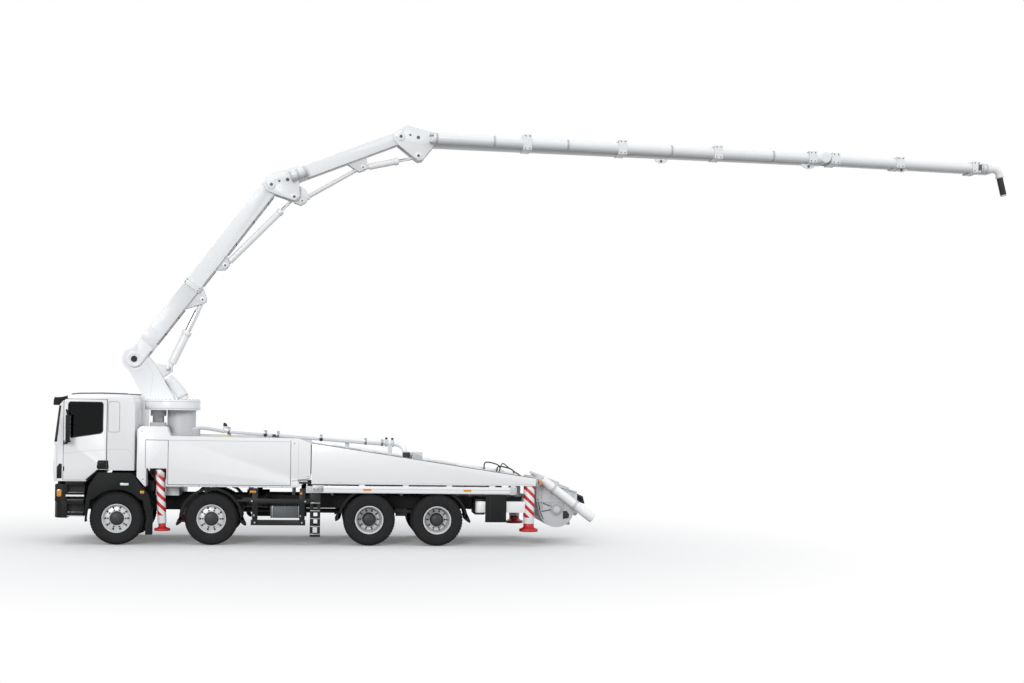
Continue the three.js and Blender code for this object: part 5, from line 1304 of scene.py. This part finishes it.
class PUMP_OT_outriggers(PumpPiece, bpy.types.Operator):
    """Beams, striped leg tubes and red feet"""
    bl_idname = "pump.outriggers"
    bl_label = "Outriggers"

    def execute(self, context):
        outriggers()
        return {"FINISHED"}


class PUMP_OT_deck(PumpPiece, bpy.types.Operator):
    """Deck plates, column, pipes and fittings"""
    bl_idname = "pump.deck"
    bl_label = "Deck"

    def execute(self, context):
        deck()
        return {"FINISHED"}


class PUMP_OT_hopper(PumpPiece, bpy.types.Operator):
    """Hopper, its tubes, grate and the pump"""
    bl_idname = "pump.hopper"
    bl_label = "Hopper"

    def execute(self, context):
        hopper()
        return {"FINISHED"}


class PUMP_OT_turret(PumpPiece, bpy.types.Operator):
    """Slewing ring and turret"""
    bl_idname = "pump.turret"
    bl_label = "Turret"

    def execute(self, context):
        turret()
        return {"FINISHED"}


class PUMP_OT_boom(PumpPiece, bpy.types.Operator):
    """Four arms with the delivery pipe and the end hose"""
    bl_idname = "pump.boom"
    bl_label = "Boom"

    def execute(self, context):
        boom(context.scene.pump_boom)
        return {"FINISHED"}


class PUMP_OT_cylinders(PumpPiece, bpy.types.Operator):
    """Boom cylinders and their rods"""
    bl_idname = "pump.cylinders"
    bl_label = "Cylinders"

    def execute(self, context):
        cylinders()
        return {"FINISHED"}


CAMERA_PLACE = (4066, -30135, 2845)
FLOOR_PLACE = (-4.7, -0.5, -0.002)  # in metres; the floor turns white round this point
# Name, direction it comes from, spread in degrees and strength. All are suns, so that none falls off.
LAMPS = (
    ("Front light", (-7, -18, 7), 20, 1.22),
    ("Overhead light", (2, 2, 20), 50, 0.4),
    ("Fill light", (14, -14, 10), 30, 0.45),
)


def seen_directly(tree):
    """1 for the rays that show the surroundings: to the camera, through glass and off gloss."""
    rays = add_node(tree, "ShaderNodeLightPath").outputs
    glass = add_node(tree, "ShaderNodeMath", {
        0: rays["Is Camera Ray"], 1: rays["Is Transmission Ray"]}, operation="MAXIMUM")
    return add_node(tree, "ShaderNodeMath", {
        0: glass.outputs[0], 1: rays["Is Glossy Ray"]}, operation="MAXIMUM").outputs[0]


def add_camera(scene, settings):
    """The camera, 30 m to the left of the vehicle."""
    camera = bpy.data.objects.new("Camera", bpy.data.cameras.new("Camera"))
    scene.collection.objects.link(camera)
    camera.data.lens = settings.lens
    camera.data.sensor_width = 36
    camera.data.shift_y = 0.0669
    camera.data.clip_end = 200
    upright = Matrix.Rotation(math.radians(90), 4, "X")
    turn = Matrix.Rotation(settings.heading, 4, "Z")
    camera.matrix_world = (Matrix.Translation(VEHICLE @ Vector(CAMERA_PLACE)) @ turn @ upright
                           @ Matrix.Rotation(settings.roll, 4, "Z"))
    scene.camera = camera
    return camera


def add_lamps(scene):
    for name, place, spread, strength in LAMPS:
        light = bpy.data.objects.new(name, bpy.data.lights.new(name, "SUN"))
        light.data.angle = math.radians(spread)
        light.data.energy = strength
        light.location = place
        light.rotation_euler = Vector(place).to_track_quat("Z", "Y").to_euler()
        scene.collection.objects.link(light)


def add_surroundings(scene, settings):
    """Plain white where it is seen, and a slightly cool light from all round."""
    world = bpy.data.worlds.new("White surroundings")
    scene.world = world
    world.use_nodes = True
    tree = world.node_tree
    tree.nodes.clear()
    seen = seen_directly(tree)
    shown = add_node(tree, "ShaderNodeBackground", {"Color": (1, 1, 1, 1), "Strength": 1.0})
    lit = add_node(tree, "ShaderNodeBackground", {"Color": srgb("f2f5f8"), "Strength": settings.sky})
    mixed = add_node(tree, "ShaderNodeMixShader", {0: seen, 1: lit.outputs[0], 2: shown.outputs[0]})
    add_node(tree, "ShaderNodeOutputWorld", {"Surface": mixed.outputs[0]})


def add_floor(context):
    """A floor that takes the vehicle's shadow and fades to plain white further out. It is darker
    for the light that it throws back up than it looks."""
    bpy.ops.mesh.primitive_plane_add(size=160, location=FLOOR_PLACE)
    floor = context.active_object
    floor.name = "Floor"
    material, tree, output = new_tree("White studio floor")
    eye = seen_directly(tree)
    shade = add_node(tree, "ShaderNodeMixRGB", {
        "Fac": eye, "Color1": (0.3, 0.3, 0.3, 1), "Color2": (0.68, 0.68, 0.685, 1)})
    diffuse = add_node(tree, "ShaderNodeBsdfDiffuse", {"Color": shade.outputs[0]})
    dim = add_node(tree, "ShaderNodeMath", {0: eye, 1: 0.13}, operation="MULTIPLY")
    glow = add_node(tree, "ShaderNodeEmission", {"Color": (1, 1, 1, 1), "Strength": dim.outputs[0]})
    near = add_node(tree, "ShaderNodeAddShader", {0: diffuse.outputs[0], 1: glow.outputs[0]})
    place = add_node(tree, "ShaderNodeTexCoord").outputs["Object"]
    away = add_node(tree, "ShaderNodeVectorMath", {0: place}, operation="LENGTH").outputs["Value"]
    faded = add_node(tree, "ShaderNodeMapRange", {
        "Value": away, "From Min": 4.5, "From Max": 11.0, "To Min": 0.0, "To Max": 1.0}).outputs[0]
    seen_far = add_node(tree, "ShaderNodeMath", {0: faded, 1: eye}, operation="MULTIPLY")
    white = add_node(tree, "ShaderNodeEmission", {"Color": (1, 1, 1, 1), "Strength": 1.0})
    both = add_node(tree, "ShaderNodeMixShader", {
        0: seen_far.outputs[0], 1: near.outputs[0], 2: white.outputs[0]})
    tree.links.new(both.outputs[0], output.inputs["Surface"])
    floor.data.materials.append(material)
    return floor


class PUMP_OT_stage(PumpPiece, bpy.types.Operator):
    """Camera, lights, floor and white surroundings"""
    bl_idname = "pump.stage"
    bl_label = "Camera, light and floor"

    def execute(self, context):
        scene, settings = context.scene, context.scene.pump_stage
        scene.view_settings.view_transform = "Standard"
        camera = add_camera(scene, settings)
        add_lamps(scene)
        add_surroundings(scene, settings)
        add_floor(context)
        return {"FINISHED"}


class PUMP_OT_paint_frame(PumpPiece, bpy.types.Operator):
    """Paints the CAD nodes that stay in sight"""
    bl_idname = "pump.paint_frame"
    bl_label = "Paint the frame"

    def execute(self, context):
        for part in CAD["record"]["subparts"]:
            node = CAD["nodes"][part["node"]]
            node.data.materials.clear()
            node.data.materials.append(paint(SLOT_PAINT[part["material_slot"]]))
        return {"FINISHED"}


class PUMP_PT_panel(bpy.types.Panel):
    """Buttons for the pieces, in the order in which they are built"""
    bl_label = "Pump truck"
    bl_idname = "PUMP_PT_panel"
    bl_space_type = "VIEW_3D"
    bl_region_type = "UI"
    bl_category = "Pump truck"

    def draw(self, context):
        for group in SETTINGS:
            box = self.layout.box()
            settings = getattr(context.scene, group)
            for key in settings.__annotations__:
                box.prop(settings, key)
        for operator in OPERATORS:
            self.layout.operator(operator.bl_idname)


SETTINGS = {"pump_paint": PumpPaintSettings, "pump_wheels": PumpWheelSettings,
            "pump_body": PumpBodySettings, "pump_boom": PumpBoomSettings, "pump_stage": PumpStageSettings}
OPERATORS = (PUMP_OT_paint_frame, PUMP_OT_wheels, PUMP_OT_cab, PUMP_OT_doors, PUMP_OT_lower_front,
             PUMP_OT_sides, PUMP_OT_underbody, PUMP_OT_outriggers, PUMP_OT_deck, PUMP_OT_hopper,
             PUMP_OT_turret, PUMP_OT_boom, PUMP_OT_cylinders, PUMP_OT_stage)
CLASSES = (*SETTINGS.values(), *OPERATORS, PUMP_PT_panel)


def register():
    for item in CLASSES:
        bpy.utils.register_class(item)
    for name, group in SETTINGS.items():
        setattr(bpy.types.Scene, name, bpy.props.PointerProperty(type=group))


def unregister():
    for name in SETTINGS:
        delattr(bpy.types.Scene, name)
    for item in reversed(CLASSES):
        bpy.utils.unregister_class(item)


def main():
    """Builds every piece in order."""
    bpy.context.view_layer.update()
    register()
    for operator in OPERATORS:
        group, name = operator.bl_idname.split(".")
        if getattr(getattr(bpy.ops, group), name)() != {"FINISHED"}:
            raise RuntimeError(f"{operator.bl_idname} did not finish")


if __name__ == "__main__":
    main()
